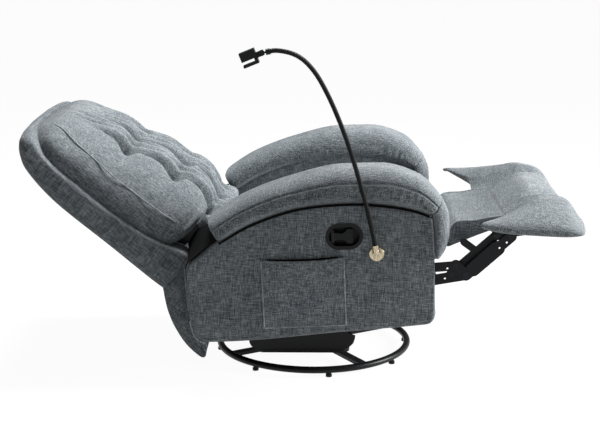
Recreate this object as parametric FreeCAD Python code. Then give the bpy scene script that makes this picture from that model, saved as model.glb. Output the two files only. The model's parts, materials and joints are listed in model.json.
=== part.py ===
import FreeCAD, Part
import math
import os

# Swivel rocking recliner in the pose it is shown in: rocked back a little, back laid down, footrest out.
# Millimetres. +X is the sitter's forward, +Y the sitter's left, +Z up.
# The origin is on the floor, on the swivel axis.
V = FreeCAD.Vector
DIAG = math.sqrt(0.5)     # middle of a quarter turn

# Swivel base
RING_R = 286.0            # centre line of the ring tube
RING_TUBE_R = 10.0
FOOT_COUNT = 8
FOOT_R = 9.0
FOOT_GLIDE_H = 7.0        # height of the wide part that stands on the floor
FOOT_STEM_R = 7.0
FOOT_H = 10.0             # floor to the underside of the ring
FOOT_SADDLE = 4.0         # how far a foot reaches up beside the tube
FOOT_ANGLE = 9.0          # first foot, degrees from +X
SPOKE_COUNT = 4
SPOKE_ANGLE = 31.5
SPOKE_W = 26.0
SPOKE_T = 10.0
HUB_R = 42.0
FLANGE_R = 96.0
FLANGE_T = 7.0
HUB_TOP = 40.0            # upper face of the lower race
BALL_COUNT = 14
BALL_R = 5.5
BALL_PITCH_R = 72.0
RACE_GAP = 6.0            # lower race to swivel plate
RUNNING = 0.08            # radial clearance of a pin or ball that turns
SEATED = 0.05             # clearance of a pin or ball that does not turn
BOLT_R = 8.0
BOLT_HEAD_R = 14.0
BOLT_HEAD_H = 7.0
FACE_GAP = 0.3            # between faces that turn past each other

# Rocker platform
SWIVEL_T = 8.0
SWIVEL_REAR, SWIVEL_FRONT = -172.0, 106.0
SWIVEL_CORNER_R = 30.0
ROCKER_PLATE_Y = 205.0    # middle of each upright plate
PLATE_T = 4.0             # steel plates and links
ROCKER_X, ROCKER_Z = -30.0, 140.0
SHAFT_R = 9.0
EAR_R = 22.0
SPRING_X = (-150.0, 90.0)
SPRING_Y = 150.0
SPRING_R = 22.0           # coil centre line
SPRING_WIRE_R = 3.0
SPRING_TURNS = 4
SPRING_SEAT_R = 30.0
SPRING_SEAT_T = 4.0
BEAM_BOTTOM = 152.0       # cross beams that the springs push up on
BEAM_H = 26.0
BEAM_W = 56.0
BEAM_WALL = 4.0

# Seat and arms
ARM_IN = 264.0            # inner face of an arm
ARM_W = 152.0
ARM_OUT = ARM_IN + ARM_W
ARM_EDGE = 14.0           # rounding of the upholstered panel edges
LINK_SPACE = 40.0         # arm to the inner face of the mechanism plate
LAYER = PLATE_T + 2.0     # pitch of the link layers
PLATE_Y = ARM_IN - LINK_SPACE
RAIL_T = 24.0
DECK_Z = 346.0            # underside of the seat cushion
DECK_T = 3.0
SEAT_REAR, SEAT_FRONT = -316.0, 338.0
SEAT_HALF = 249.0
SOFT_GAP = 0.4            # soft solids to their neighbours
PIN_R = 5.0
WASHER_R = 9.0
PIN_HEAD = 0.8            # thin heads: they pass each other in the 2 mm between link layers

# Reclining back: u runs up the back, n out of its front
RECLINE_SLOPE = 40.0
BACK_X, BACK_Z = -386.0, 390.0
BACK_HALF = 334.0
BACK_PIVOT = (-345.0, 430.0)
SHELL_WALL = 24.0
SHELL_REAR = 122.0        # back of the shell behind the origin line, at its middle
SHELL_HEAD = 530.0
STILE_W, STILE_D = 30.0, 24.0
EDGE_FLAT_U = 230.0       # the shell's front edge runs straight above this height
EDGE_FLAT_N = -36.0
EDGE_RISE = 34.0          # how far it comes forward at the seat

# Footrest linkage pivots, seen from the side with the footrest out
FRONT_PIVOT = (290.0, 265.0)
REAR_PIVOT = (224.0, 304.6)
KNEE = (435.0, 290.0)
ELBOW = (405.0, 320.0)    # the pivot that is left open, with clearance
PAD_PIVOT = (560.0, 404.0)
CONTROL_STEP = (-40.0, 2.0)   # from the knee and from the pad pivot to the control link's pins
OPEN_CLEARANCE = 1.2
LINK_W = 31.0
LINK_HOLE_R = 3.0         # spare holes punched in the links
SLIM_LINK_W = 27.0
BROAD_LINK_W = 42.0      # the pad link swells to this between its ends
STAY_TIP = (428.0, 385.0)  # end of the short arm that stands off the control link
CROSS_TUBE_AT = 0.38      # share of the front link's length
CROSS_TUBE_R = 11.0
CROSS_TUBE_WALL = 2.0
BOARD_T = 15.0
BOARD_Z = 420.0
BOARD_REAR, BOARD_FRONT = 503.0, 730.0
BOARD_MID_REAR = 553.0    # the board is notched here for the chaise
BOARD_HALF = 264.0
WING_HALF = ARM_OUT - 12.0  # the footrest pad covers the fronts of the arms when it is shut
CHAISE_HALF = 196.0
CHAISE_PIVOT = (350.0, 360.0)

# Side pocket, release lever and phone holder, all on the right arm
POCKET_REAR, POCKET_FRONT = -138.0, 86.0
POCKET_BOTTOM, POCKET_TOP = 194.0, 384.0
POCKET_GAP = 12.0
CLOTH_T = 3.0
SEAT_TILT = 2.5           # nose-up slope of the seat body, degrees
LEVER_X, LEVER_Z = 83.0, 447.0
BEZEL_L, BEZEL_H = 102.0, 72.0
BEZEL_RIM = 7.0
BEZEL_PROUD = 4.0
CUP_DEPTH = 26.0
CUP_WALL = 2.5
PADDLE_T = 6.0
GROMMET_X, GROMMET_Z = 171.0, 400.0
GROMMET_R = 21.0
GROMMET_T = 6.0
NECK_R = 6.5
NECK_Y = ARM_OUT + 25.0
NECK_ROUTE = [(170, 407), (160, 456), (148, 509), (132, 569), (113, 635), (92, 701), (67, 767),
              (38, 833), (3, 896), (-40, 938), (-95, 951), (-124, 945)]
CLAMP_TILT = 22.0
CLAMP_L, CLAMP_H, CLAMP_W = 42.0, 40.0, 34.0
CLAMP_GAP = 9.0           # the grip when it is shut, about a phone's thickness

os.makedirs("parts", exist_ok=True)


def export(node, *solids):
    """One STEP file for a node: a single solid or a group of separate solids."""
    shape = solids[0] if len(solids) == 1 else Part.makeCompound(list(solids))
    shape.exportStep(f"parts/{node}.step")


def both_sides(solid):
    """The right-hand solid as drawn and its mirror image on the left."""
    return [solid, solid.mirror(V(0, 0, 0), V(0, 1, 0))]


def at_side(y):
    """A side view: outline points are x and z, on the plane of this y."""
    return lambda a, b: V(a, y, b)


def wire(place, start, *steps):
    """A closed outline. A step of one point is a line, a step of two is an arc: middle, end."""
    edges = []
    here = place(*start)
    for step in steps + (start,):
        if isinstance(step[0], tuple):
            there = place(*step[1])
            edges.append(Part.Arc(here, place(*step[0]), there).toShape())
        else:
            there = place(*step)
            if here.distanceToPoint(there) < 1e-6:
                continue
            edges.append(Part.LineSegment(here, there).toShape())
        here = there
    return Part.Wire(edges)


def plate(y0, y1, start, *steps):
    """A side-view outline carried from y0 to y1."""
    return Part.Face(wire(at_side(y0), start, *steps)).extrude(V(0, y1 - y0, 0))


def rod(point, r, y0, y1):
    """A round bar across the chair."""
    return Part.makeCylinder(r, y1 - y0, V(point[0], y0, point[1]), V(0, 1, 0))


def block(low, high):
    """A box between two corners."""
    return Part.makeBox(high[0] - low[0], high[1] - low[1], high[2] - low[2], V(*low))


def bar(p, q, width, y0, y1):
    """A flat link with round ends."""
    r = width / 2
    along = V(q[0] - p[0], q[1] - p[1], 0).normalize()
    a, b = along.x * r, along.y * r
    return plate(y0, y1, (p[0] - b, p[1] + a),
                 ((p[0] - a, p[1] - b), (p[0] + b, p[1] - a)),
                 (q[0] + b, q[1] - a),
                 ((q[0] + a, q[1] + b), (q[0] - b, q[1] + a)))


def layer(index):
    """y range of a link layer on the right side: 0 is the mechanism plate, 3 is nearest the arm."""
    outer = -(PLATE_Y + index * LAYER + PLATE_T)
    return outer, outer + PLATE_T


def pin(point, first, last):
    """A shouldered pivot pin through the layers first to last, with a flat head at each end."""
    outer = layer(last)[0]
    inner = layer(first)[1]
    head = PIN_HEAD
    body = rod(point, PIN_R, outer - head, inner + head)
    return body.fuse([rod(point, WASHER_R, outer - head, outer - SEATED),
                      rod(point, WASHER_R, inner + SEATED, inner + head)])


def hole(point, clearance):
    """The cutter for a pin's hole in any layer."""
    return rod(point, PIN_R + clearance, -ARM_IN, -PLATE_Y + LAYER)


def spare_hole(point):
    """The cutter for a small punched hole in any layer."""
    return rod(point, LINK_HOLE_R, -ARM_IN, -PLATE_Y + LAYER)


def along(p, q, share):
    """The point at this share of the way from p to q."""
    return (p[0] + (q[0] - p[0]) * share, p[1] + (q[1] - p[1]) * share)


def tangent_arc(start, direction, end):
    """The arc that leaves start along direction and reaches end."""
    chord = end - start
    half = direction.getAngle(chord)
    corner = start + direction * (chord.Length / (2 * math.cos(half)))
    weight = math.cos(half)
    middle = (start + end + corner * (2 * weight)) * (1 / (2 + 2 * weight))
    return Part.Arc(start, middle, end).toShape()


def smooth_path(points):
    """Straight runs joined by tangent arcs as large as the shorter run allows."""
    edges = []
    here = points[0]
    radii = []
    for before, corner, after in zip(points, points[1:], points[2:]):
        into = (corner - before)
        out = (after - corner)
        reach = 0.45 * min(into.Length, out.Length)
        turn = into.getAngle(out)
        radii.append(reach / math.tan(turn / 2))
        first = corner - into.normalize() * reach
        edges.append(Part.LineSegment(here, first).toShape())
        here = corner + out.normalize() * reach
        edges.append(tangent_arc(first, into, here))
    edges.append(Part.LineSegment(here, points[-1]).toShape())
    return Part.Wire(edges), radii


def tube(path, r):
    """A round section carried along a wire."""
    start = path.Edges[0]
    ring = Part.Circle(start.valueAt(start.FirstParameter), start.tangentAt(start.FirstParameter), r)
    return path.makePipeShell([Part.Wire(ring.toShape())], True, False)


def biarc(p, p_way, q, q_way):
    """Two arcs that share a tangent and join two points along the given directions."""
    gap = q - p
    both = p_way + q_way
    a = 2 * (p_way.dot(q_way) - 1)
    b = -2 * gap.dot(both)
    c = gap.dot(gap)
    reach = 2 * c / (-b + math.sqrt(b * b - 4 * a * c))
    p_corner = p + p_way * reach
    q_corner = q - q_way * reach
    joint = (p_corner + q_corner) * 0.5
    middle_way = (q_corner - p_corner).normalize()
    return [tangent_arc(p, p_way, joint), tangent_arc(joint, middle_way, q)]


def coil_spring(x, y, bottom, top):
    """A compression spring: half-turn biarcs round a vertical axis."""
    rise = (top - bottom - 2 * SPRING_WIRE_R) / SPRING_TURNS

    def point(turns):
        angle = 2 * math.pi * turns
        return V(x + SPRING_R * math.cos(angle), y + SPRING_R * math.sin(angle),
                 bottom + SPRING_WIRE_R + rise * turns)

    def way(turns):
        angle = 2 * math.pi * turns
        speed = 2 * math.pi * SPRING_R
        return V(-speed * math.sin(angle), speed * math.cos(angle), rise).normalize()

    edges = []
    for half in range(2 * SPRING_TURNS):
        edges += biarc(point(half / 2), way(half / 2), point(half / 2 + 0.5), way(half / 2 + 0.5))
    near = [point(step / 48) for step in range(48 * SPRING_TURNS + 1)]
    gap = min(near[i].distanceToPoint(near[i + 48 + k])
              for i in range(len(near) - 52) for k in range(-4, 5)) - 2 * SPRING_WIRE_R
    return tube(Part.Wire(edges), SPRING_WIRE_R), gap


def loft(wires, ruled=False):
    """A closed soft form through its sections."""
    return Part.makeLoft(wires, True, ruled)


# Swivel base: ring, feet, spokes, lower race, balls and pivot bolt
ring_z = FOOT_H + RING_TUBE_R
ring = Part.makeTorus(RING_R, RING_TUBE_R, V(0, 0, ring_z))
export("base_ring", ring)

feet = []
for i in range(FOOT_COUNT):
    angle = math.radians(FOOT_ANGLE + i * 360 / FOOT_COUNT)
    foot_at = V(RING_R * math.cos(angle), RING_R * math.sin(angle), 0)
    stem = Part.makeCylinder(FOOT_STEM_R, FOOT_H + FOOT_SADDLE, foot_at)
    feet.append(stem.fuse(Part.makeCylinder(FOOT_R, FOOT_GLIDE_H, foot_at)).cut(ring))
export("base_feet", *feet)

hub_core = Part.makeCylinder(HUB_R, HUB_TOP - FLANGE_T - FOOT_H, V(0, 0, FOOT_H))
spokes = []
for i in range(SPOKE_COUNT):
    spoke = block((HUB_R / 2, -SPOKE_W / 2, ring_z - SPOKE_T / 2), (RING_R, SPOKE_W / 2, ring_z + SPOKE_T / 2))
    spoke.rotate(V(0, 0, 0), V(0, 0, 1), SPOKE_ANGLE + i * 360 / SPOKE_COUNT)
    spokes.append(spoke.cut([ring, hub_core]))
export("base_spokes", *spokes)

ball_z = HUB_TOP + RACE_GAP / 2
race = Part.makeTorus(BALL_PITCH_R, BALL_R + RUNNING, V(0, 0, ball_z))
flange = Part.makeCylinder(FLANGE_R, FLANGE_T, V(0, 0, HUB_TOP - FLANGE_T))
bolt_hole = Part.makeCylinder(BOLT_R + RUNNING, 4 * HUB_TOP, V(0, 0, -HUB_TOP))
export("base_hub", hub_core.fuse(flange).removeSplitter().cut([race, bolt_hole]))

balls = []
for i in range(BALL_COUNT):
    angle = math.radians(i * 360 / BALL_COUNT)
    centre = V(BALL_PITCH_R * math.cos(angle), BALL_PITCH_R * math.sin(angle), ball_z)
    balls.append(Part.makeSphere(BALL_R, centre))
export("bearing_balls", *balls)

swivel_bottom = HUB_TOP + RACE_GAP
swivel_top = swivel_bottom + SWIVEL_T
nut_bottom = swivel_top + FACE_GAP
bolt_bottom = FOOT_H - BOLT_HEAD_H
bolt = Part.makeCylinder(BOLT_R, nut_bottom + BOLT_HEAD_H - bolt_bottom, V(0, 0, bolt_bottom))
hexagon = Part.makePolygon([V(BOLT_HEAD_R * math.cos(math.radians(60 * i)),
                              BOLT_HEAD_R * math.sin(math.radians(60 * i)), 0) for i in range(7)])
hex_head = Part.Face(hexagon).extrude(V(0, 0, BOLT_HEAD_H))
export("swivel_bolt", bolt.fuse([hex_head.translated(V(0, 0, bolt_bottom)),
                                 hex_head.translated(V(0, 0, nut_bottom))]))

# Rocker platform: swivel plate, two upright plates, shaft, bushes and springs
swivel_half = ROCKER_PLATE_Y + PLATE_T
swivel = block((SWIVEL_REAR, -swivel_half, swivel_bottom), (SWIVEL_FRONT, swivel_half, swivel_top))
corners = [e for e in swivel.Edges if abs(e.Vertexes[0].Z - e.Vertexes[-1].Z) > SWIVEL_T / 2]
swivel = swivel.makeFillet(SWIVEL_CORNER_R, corners)
export("swivel_plate", swivel.cut([race, bolt_hole]))

shaft_at = (ROCKER_X, ROCKER_Z)
rocker_y = (-ROCKER_PLATE_Y - PLATE_T / 2, -ROCKER_PLATE_Y + PLATE_T / 2)
upright = plate(*rocker_y, (-188, 100), (-188, swivel_top + 30),
                ((-158 - 30 * DIAG, swivel_top + 30 - 30 * DIAG), (-158, swivel_top)), (78, swivel_top),
                ((78 + 44 * DIAG, swivel_top + 44 - 44 * DIAG), (122, swivel_top + 44)), (ROCKER_X + EAR_R, ROCKER_Z),
                ((ROCKER_X, ROCKER_Z + EAR_R), (ROCKER_X - EAR_R, ROCKER_Z)))
upright = upright.cut(rod(shaft_at, SHAFT_R + SEATED, *rocker_y))
export("rocker_uprights", *both_sides(upright))

shaft_end = PLATE_Y + PLATE_T + 4.0
collar = rod(shaft_at, SHAFT_R + 4, -shaft_end, -PLATE_Y - PLATE_T - FACE_GAP)
shaft = rod(shaft_at, SHAFT_R, -shaft_end, shaft_end).fuse(both_sides(collar))
export("rocker_shaft", shaft)

bush_y = (-PLATE_Y, -ROCKER_PLATE_Y - PLATE_T / 2 - FACE_GAP)
bush = rod(shaft_at, SHAFT_R + 5, *bush_y).cut(rod(shaft_at, SHAFT_R + RUNNING, *bush_y))
export("rocker_bushes", *both_sides(bush))

springs = []
seats = []
for x in SPRING_X:
    for y in (-SPRING_Y, SPRING_Y):
        low = swivel_top + SPRING_SEAT_T
        spring, self_gap = coil_spring(x, y, low + FACE_GAP, BEAM_BOTTOM - FACE_GAP)
        springs.append(spring)
        seat = Part.makeCylinder(SPRING_SEAT_R, SPRING_SEAT_T, V(x, y, swivel_top))
        pilot = Part.makeCone(SPRING_R - SPRING_WIRE_R - 2, SPRING_R - SPRING_WIRE_R - 6, 14, V(x, y, low))
        seats.append(seat.fuse(pilot))
print("rocker spring: least gap to itself", round(self_gap, 2), "mm")
export("rocker_springs", *springs)
export("spring_seats", *seats)

# Seat mechanism: side plates, cross beams, rails, deck straps and arm brackets
plate_layer = layer(0)
control_pin = (KNEE[0] + CONTROL_STEP[0], KNEE[1] + CONTROL_STEP[1])
pad_control_pin = (PAD_PIVOT[0] + CONTROL_STEP[0], PAD_PIVOT[1] + CONTROL_STEP[1])
eye = 18.0
side_plate = plate(*plate_layer, (-300, DECK_Z - RAIL_T), (-300, 262), (-205, 214),
                   (-184, BEAM_BOTTOM), (ROCKER_X - EAR_R, BEAM_BOTTOM),
                   ((ROCKER_X, ROCKER_Z - EAR_R), (ROCKER_X + EAR_R, BEAM_BOTTOM)), (126, BEAM_BOTTOM),
                   (150, 214), (FRONT_PIVOT[0], FRONT_PIVOT[1] - eye),
                   ((FRONT_PIVOT[0] + eye, FRONT_PIVOT[1]), (FRONT_PIVOT[0] + 8, FRONT_PIVOT[1] + eye)),
                   (FRONT_PIVOT[0] + 8, DECK_Z - RAIL_T))
side_plate = side_plate.cut([rod(shaft_at, SHAFT_R + RUNNING, *plate_layer), hole(FRONT_PIVOT, SEATED),
                             hole(REAR_PIVOT, SEATED)])
for lighten in ((-230, 272), (-120, 250), (60, 250)):
    side_plate = side_plate.cut(bar((lighten[0] - 20, lighten[1]), (lighten[0] + 30, lighten[1]), 36, *plate_layer))
export("mechanism_side_plates", *both_sides(side_plate))

beams = []
for x in SPRING_X:
    outer = block((x - BEAM_W / 2, -PLATE_Y, BEAM_BOTTOM), (x + BEAM_W / 2, PLATE_Y, BEAM_BOTTOM + BEAM_H))
    inner = block((x - BEAM_W / 2 + BEAM_WALL, -PLATE_Y, BEAM_BOTTOM + BEAM_WALL),
                  (x + BEAM_W / 2 - BEAM_WALL, PLATE_Y, BEAM_BOTTOM + 2 * BEAM_H))
    beams.append(outer.cut(inner))
export("cross_beams", *beams)

rail_half = PLATE_Y + PLATE_T
rail_bottom = DECK_Z - RAIL_T
front_rail_x = (FRONT_PIVOT[0] + 8 - RAIL_T, FRONT_PIVOT[0] + 8)
rear_rail_x = (-300.0, -300.0 + RAIL_T)
side_rail = block((rear_rail_x[1], -rail_half, rail_bottom), (front_rail_x[0], -rail_half + RAIL_T, DECK_Z - DECK_T))
front_rail = block((front_rail_x[0], -rail_half, rail_bottom), (front_rail_x[1], rail_half, DECK_Z - DECK_T))
rear_rail = block((rear_rail_x[0], -rail_half, rail_bottom), (rear_rail_x[1], rail_half, DECK_Z - DECK_T))
export("seat_rails", *both_sides(side_rail), front_rail, rear_rail)

strap_count = 5
strap_w = 60.0
strap_pitch = 2 * rail_half / strap_count
straps = []
for i in range(strap_count):
    middle = -rail_half + strap_pitch * (i + 0.5)
    straps.append(block((rear_rail_x[0], middle - strap_w / 2, DECK_Z - DECK_T),
                        (front_rail_x[1], middle + strap_w / 2, DECK_Z)))
export("seat_straps", *straps)

bracket_y = (-ARM_IN, -PLATE_Y - PLATE_T)
arm_bracket = plate(*bracket_y, (-150, 222), (100, 222), (100, 228), (-144, 228), (-144, 300), (-150, 300))
export("arm_brackets", *both_sides(arm_bracket))

# Arms: upholstered side panels, arm pads, front caps
arm_profile = ((-300, 142), (292, 192), ((327, 198), (333, 228)), (326, 392), (320, 511),
               ((226, 536), (110, 545)), ((-68, 524), (-258, 435)), (-338, 366),
               ((-345, 300), (-335, 199)), ((-322, 158), (-300, 142)))
arm_core = plate(-ARM_OUT, -ARM_IN, *arm_profile)
mid_x, mid_z = 0.0, 340.0


def drawn_in(scale):
    """The arm's side outline shrunk about its middle, for the rounded outer edge."""
    def shrink(p):
        return (mid_x + (p[0] - mid_x) * scale, mid_z + (p[1] - mid_z) * scale)
    return [tuple(shrink(q) for q in step) if isinstance(step[0], tuple) else shrink(step) for step in arm_profile]


edge_scale = 1 - ARM_EDGE / (2 * SEAT_FRONT)
outer_edge = loft([wire(at_side(-ARM_OUT), *drawn_in(edge_scale)),
                   wire(at_side(-ARM_OUT + ARM_EDGE), *arm_profile)], True)
panel = plate(-ARM_OUT + ARM_EDGE, -ARM_IN, *arm_profile).fuse(outer_edge).removeSplitter()

tilt_axis = V(0, 1, 0)


def tilted(solid, x, z):
    """A piece drawn level, turned to the seat body's slope about its own middle."""
    return solid.rotated(V(x, 0, z), tilt_axis, -SEAT_TILT)


def stadium(length, height, y0, y1):
    """A slot-shaped plate round the lever's middle."""
    run = (length - height) / 2
    return bar((LEVER_X - run, LEVER_Z), (LEVER_X + run, LEVER_Z), height, y0, y1)


panel_face = -ARM_OUT
cup_l, cup_h = BEZEL_L - 2 * BEZEL_RIM, BEZEL_H - 2 * BEZEL_RIM
cup_floor = panel_face + CUP_DEPTH
cup_hole = tilted(stadium(cup_l, cup_h, panel_face - 1, cup_floor), LEVER_X, LEVER_Z)
grommet_hole = rod((GROMMET_X, GROMMET_Z), PIN_R + SEATED, panel_face - 1, panel_face + 30)
export("arm_panel_right", panel.cut([cup_hole, grommet_hole]))
export("arm_panel_left", panel.mirror(V(0, 0, 0), V(0, 1, 0)))

PAD_OVERHANG = 7.0
PAD_SHOULDER = 0.5        # share of the pad's height where its crown starts


def pad_section(base, top, narrow=0.0):
    """A crowned section across the arm, from the base line to the top ridge."""
    y_in = -ARM_IN + PAD_OVERHANG - narrow
    y_out = -ARM_OUT - PAD_OVERHANG + narrow
    middle = (y_in + y_out) / 2

    def place(y, share):
        return V(base[0] + (top[0] - base[0]) * share, y, base[1] + (top[1] - base[1]) * share)

    return wire(place, (y_in, 0), ((y_in + 3, PAD_SHOULDER / 2), (y_in, PAD_SHOULDER)), ((middle, 1), (y_out, PAD_SHOULDER)),
                ((y_out - 3, PAD_SHOULDER / 2), (y_out, 0)))


arm_pad = loft([pad_section((-254, 431), (-288, 480), 4), pad_section((-166, 482), (-196, 541)),
                pad_section((-45, 524), (-68, 592)), pad_section((84, 539), (76, 627)),
                pad_section((177, 536), (182, 630)), pad_section((263, 523), (284, 601)),
                pad_section((318, 505), (350, 540), 3)])
arm_pad = arm_pad.cut(arm_core.translated(V(0, 0, SOFT_GAP)))
front_cap = loft([pad_section((318, 505), (350, 540), 3), pad_section((322, 482), (367, 496)),
                  pad_section((324, 450), (368, 452)), pad_section((327, 412), (359, 408)),
                  pad_section((331, 386), (342, 383), 3)])
front_cap = front_cap.cut([arm_core.translated(V(SOFT_GAP, 0, 0)), arm_pad])
for side, solids in zip(("right", "left"), zip(both_sides(arm_pad), both_sides(front_cap))):
    export(f"arm_pad_{side}", solids[0])
    export(f"arm_front_cap_{side}", solids[1])

# Seat cushion with a front roll behind a sewn channel
seat_bottom = DECK_Z + SOFT_GAP


def seat_section(x, half, shoulder, crown):
    """A section across the seat: drawn-in sides, a shoulder and a crown."""
    def place(y, z):
        return V(x, y, z)
    inset = 22.0
    low = (seat_bottom + shoulder) / 2
    return wire(place, (-half, seat_bottom), ((-half - 5, low), (-half + inset, shoulder)),
                ((0, crown), (half - inset, shoulder)), ((half + 5, low), (half, seat_bottom)))


seat = loft([seat_section(SEAT_REAR, SEAT_HALF - 16, 396, 402), seat_section(SEAT_REAR + 60, SEAT_HALF - 6, 412, 424),
             seat_section(-100, SEAT_HALF - 9, 414, 428), seat_section(90, SEAT_HALF - 8, 415, 428),
             seat_section(SEAT_FRONT - 130, SEAT_HALF - 7, 411, 421), seat_section(SEAT_FRONT - 70, SEAT_HALF - 6, 418, 430),
             seat_section(SEAT_FRONT - 20, SEAT_HALF - 8, 406, 417), seat_section(SEAT_FRONT, SEAT_HALF - 18, 378, 384)])
export("seat_cushion", seat)

# Reclining back
slope = math.radians(RECLINE_SLOPE)
up_back = V(-math.cos(slope), 0, math.sin(slope))
off_back = V(math.sin(slope), 0, math.cos(slope))
back_origin = V(BACK_X, 0, BACK_Z)


def on_back(u, n, y=0.0):
    """A point by its height up the back, its distance in front of it and its y."""
    return back_origin + up_back * u + off_back * n + V(0, y, 0)


def at_back_side(y):
    """A side view of the back: outline points are u and n, on the plane of this y."""
    return lambda u, n: on_back(u, n, y)


def back_plate(y0, y1, start, *steps):
    """A side-view outline of the back carried from y0 to y1."""
    return Part.Face(wire(at_back_side(y0), start, *steps)).extrude(V(0, y1 - y0, 0))


pivot_rel = V(BACK_PIVOT[0], 0, BACK_PIVOT[1]) - back_origin
pivot_u, pivot_n = pivot_rel.dot(up_back), pivot_rel.dot(off_back)


def front_edge(u):
    """How far the shell's front edge stands in front of the back's origin line."""
    return EDGE_FLAT_N + EDGE_RISE * (max(0.0, EDGE_FLAT_U - u) / EDGE_FLAT_U) ** 2


shell_front = [(u, front_edge(u)) for u in (486, EDGE_FLAT_U, 184, 138, 92, 46, 0, -46)]


def shell_wire(y, depth, length):
    """The outside back from the side: flat back, rounded head, front edge along the cushion."""
    back, head = -SHELL_REAR * depth, SHELL_HEAD * length
    return wire(at_back_side(y), (-50, -6), (-50, back + 6), ((-46, back + 1.5), (-40, back)), (330, back),
                ((head - 62, back + 26 * depth), (head, -56 * depth)), *shell_front)


shell_half = [(BACK_HALF, 0.86, 0.935), (BACK_HALF - 16, 0.93, 0.955), (BACK_HALF - 70, 0.975, 0.985), (120, 1, 1)]
shell = loft([shell_wire(-y, *rest) for y, *rest in shell_half]
             + [shell_wire(y, *rest) for y, *rest in reversed(shell_half)], True)
pan_half = BACK_HALF - 30
pan = back_plate(-pan_half, pan_half, (-26, -108 + SHELL_WALL), (380, -108 + SHELL_WALL), (448, -62), (448, 40), (-26, 40))
slot_y = (-ARM_IN - 3.0, -ARM_IN + LAYER + 2 * PLATE_T)
slot_outline = ((-80, -108 + SHELL_WALL), (70, -108 + SHELL_WALL), (70, 60),
                ((pivot_u + 30, pivot_n + 44), (pivot_u - 60, pivot_n + 80)), (-80, pivot_n + 80))
hinge_slots = both_sides(back_plate(*slot_y, *slot_outline))
export("back_shell", shell.cut([pan] + hinge_slots))

flap_half = BACK_HALF - 22
flap_outer, flap_inner = on_back(-50, -101), on_back(-50, -82)
flap = plate(-flap_half, flap_half, (flap_outer.x, flap_outer.z), ((-418, 240), (-410, 202)),
             ((-385, 140), (-318, 66)), (-306, 80), ((-372, 150), (-396, 206)),
             ((-404, 244), (flap_inner.x, flap_inner.z)))
export("rear_flap", flap)

stile_y = (-ARM_IN + LAYER + PLATE_T, -ARM_IN + LAYER + PLATE_T + STILE_W)
stile_n = (-108 + SHELL_WALL, -108 + SHELL_WALL + STILE_D)
stile = back_plate(*stile_y, (-20, stile_n[0]), (372, stile_n[0]), (372, stile_n[1]), (-20, stile_n[1]))
export("back_stiles", *both_sides(stile))
rails = []
for u in (30.0, 190.0, 340.0):
    rails.append(back_plate(stile_y[1], -stile_y[1], (u, stile_n[0]), (u + STILE_W, stile_n[0]),
                            (u + STILE_W, stile_n[1]), (u, stile_n[1])))
export("back_rails", *rails)

arm_y = (-ARM_IN + LAYER, -ARM_IN + LAYER + PLATE_T)
hinge_arm = back_plate(*arm_y, (pivot_u - 20, pivot_n), ((pivot_u, pivot_n + 20), (pivot_u + 20, pivot_n)),
                       (30, stile_n[1] + 6), (150, stile_n[1]), (150, stile_n[0]), (-18, stile_n[0]), (-22, 0))
hinge_arm = hinge_arm.cut(rod(BACK_PIVOT, PIN_R + RUNNING, *arm_y))
export("back_hinge_arms", *both_sides(hinge_arm))

seat_hinge_y = (-ARM_IN, -ARM_IN + PLATE_T)
seat_hinge = plate(*seat_hinge_y, (BACK_PIVOT[0] - 19, BACK_PIVOT[1]),
                   ((BACK_PIVOT[0], BACK_PIVOT[1] + 19), (BACK_PIVOT[0] + 17, BACK_PIVOT[1] + 8)),
                   (-226, 300), (-226, 240), (-300, 240), (-306, 330))
seat_hinge = seat_hinge.cut(rod(BACK_PIVOT, PIN_R + SEATED, *seat_hinge_y))
export("seat_hinge_plates", *both_sides(seat_hinge))
hinge_pin = rod(BACK_PIVOT, PIN_R, -ARM_IN, -ARM_IN + LAYER + PLATE_T + 2)
hinge_pin = hinge_pin.fuse(rod(BACK_PIVOT, WASHER_R, -ARM_IN + PLATE_T + SEATED, -ARM_IN + LAYER - FACE_GAP))
export("back_hinge_pins", *both_sides(hinge_pin))

TUFT_ROWS = (115.0, 265.0)
TUFT_Y = (165.0, 55.0)
TUFT_DEPTH = 26.0
PLEAT_DEPTH = 8.0


def back_section(u, base, seam, crown, valley, narrow=0.0):
    """A section across the back cushion: two bolsters and three pleats between rows of tufts."""
    def place(y, n):
        return on_back(u, n, y)
    half = BACK_HALF - 6 - narrow
    outer, inner = TUFT_Y
    bolster = (half + outer) / 2
    pleat = (outer + inner) / 2
    return wire(place, (-half, base), ((-half - 4, (base + seam) / 2), (-half, seam)),
                ((-bolster, crown), (-outer, crown - valley)), ((-pleat, crown - valley / 4), (-inner, crown - valley)),
                ((0, crown - valley / 4), (inner, crown - valley)), ((pleat, crown - valley / 4), (outer, crown - valley)),
                ((bolster, crown), (half, seam)), ((half + 4, (base + seam) / 2), (half, base)))


def cushion_base(u):
    """Where the cushion's back face lies: just in front of the shell's front edge."""
    return front_edge(u) + SOFT_GAP + 0.2


back_rows = [(-14, 46, 56, 2, 30), (0, 60, 90, 5, 12), (45, 57, 119, PLEAT_DEPTH, 2),
             (TUFT_ROWS[0], 50, 128, TUFT_DEPTH, 2), (190, 46, 121, PLEAT_DEPTH, 0),
             (TUFT_ROWS[1], 44, 105, TUFT_DEPTH, 2), (330, 46, 89, PLEAT_DEPTH, 0), (396, 50, 70, 4, 2),
             (448, 52, 59, 2, 8), (480, 38, 44, 1, 20), (502, -4, 8, 0.5, 44)]
back_sections = [back_section(u, cushion_base(u), *rest) for u, *rest in back_rows]
back_cushion = loft(back_sections)
export("back_cushion", back_cushion.cut(hinge_slots))

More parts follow.
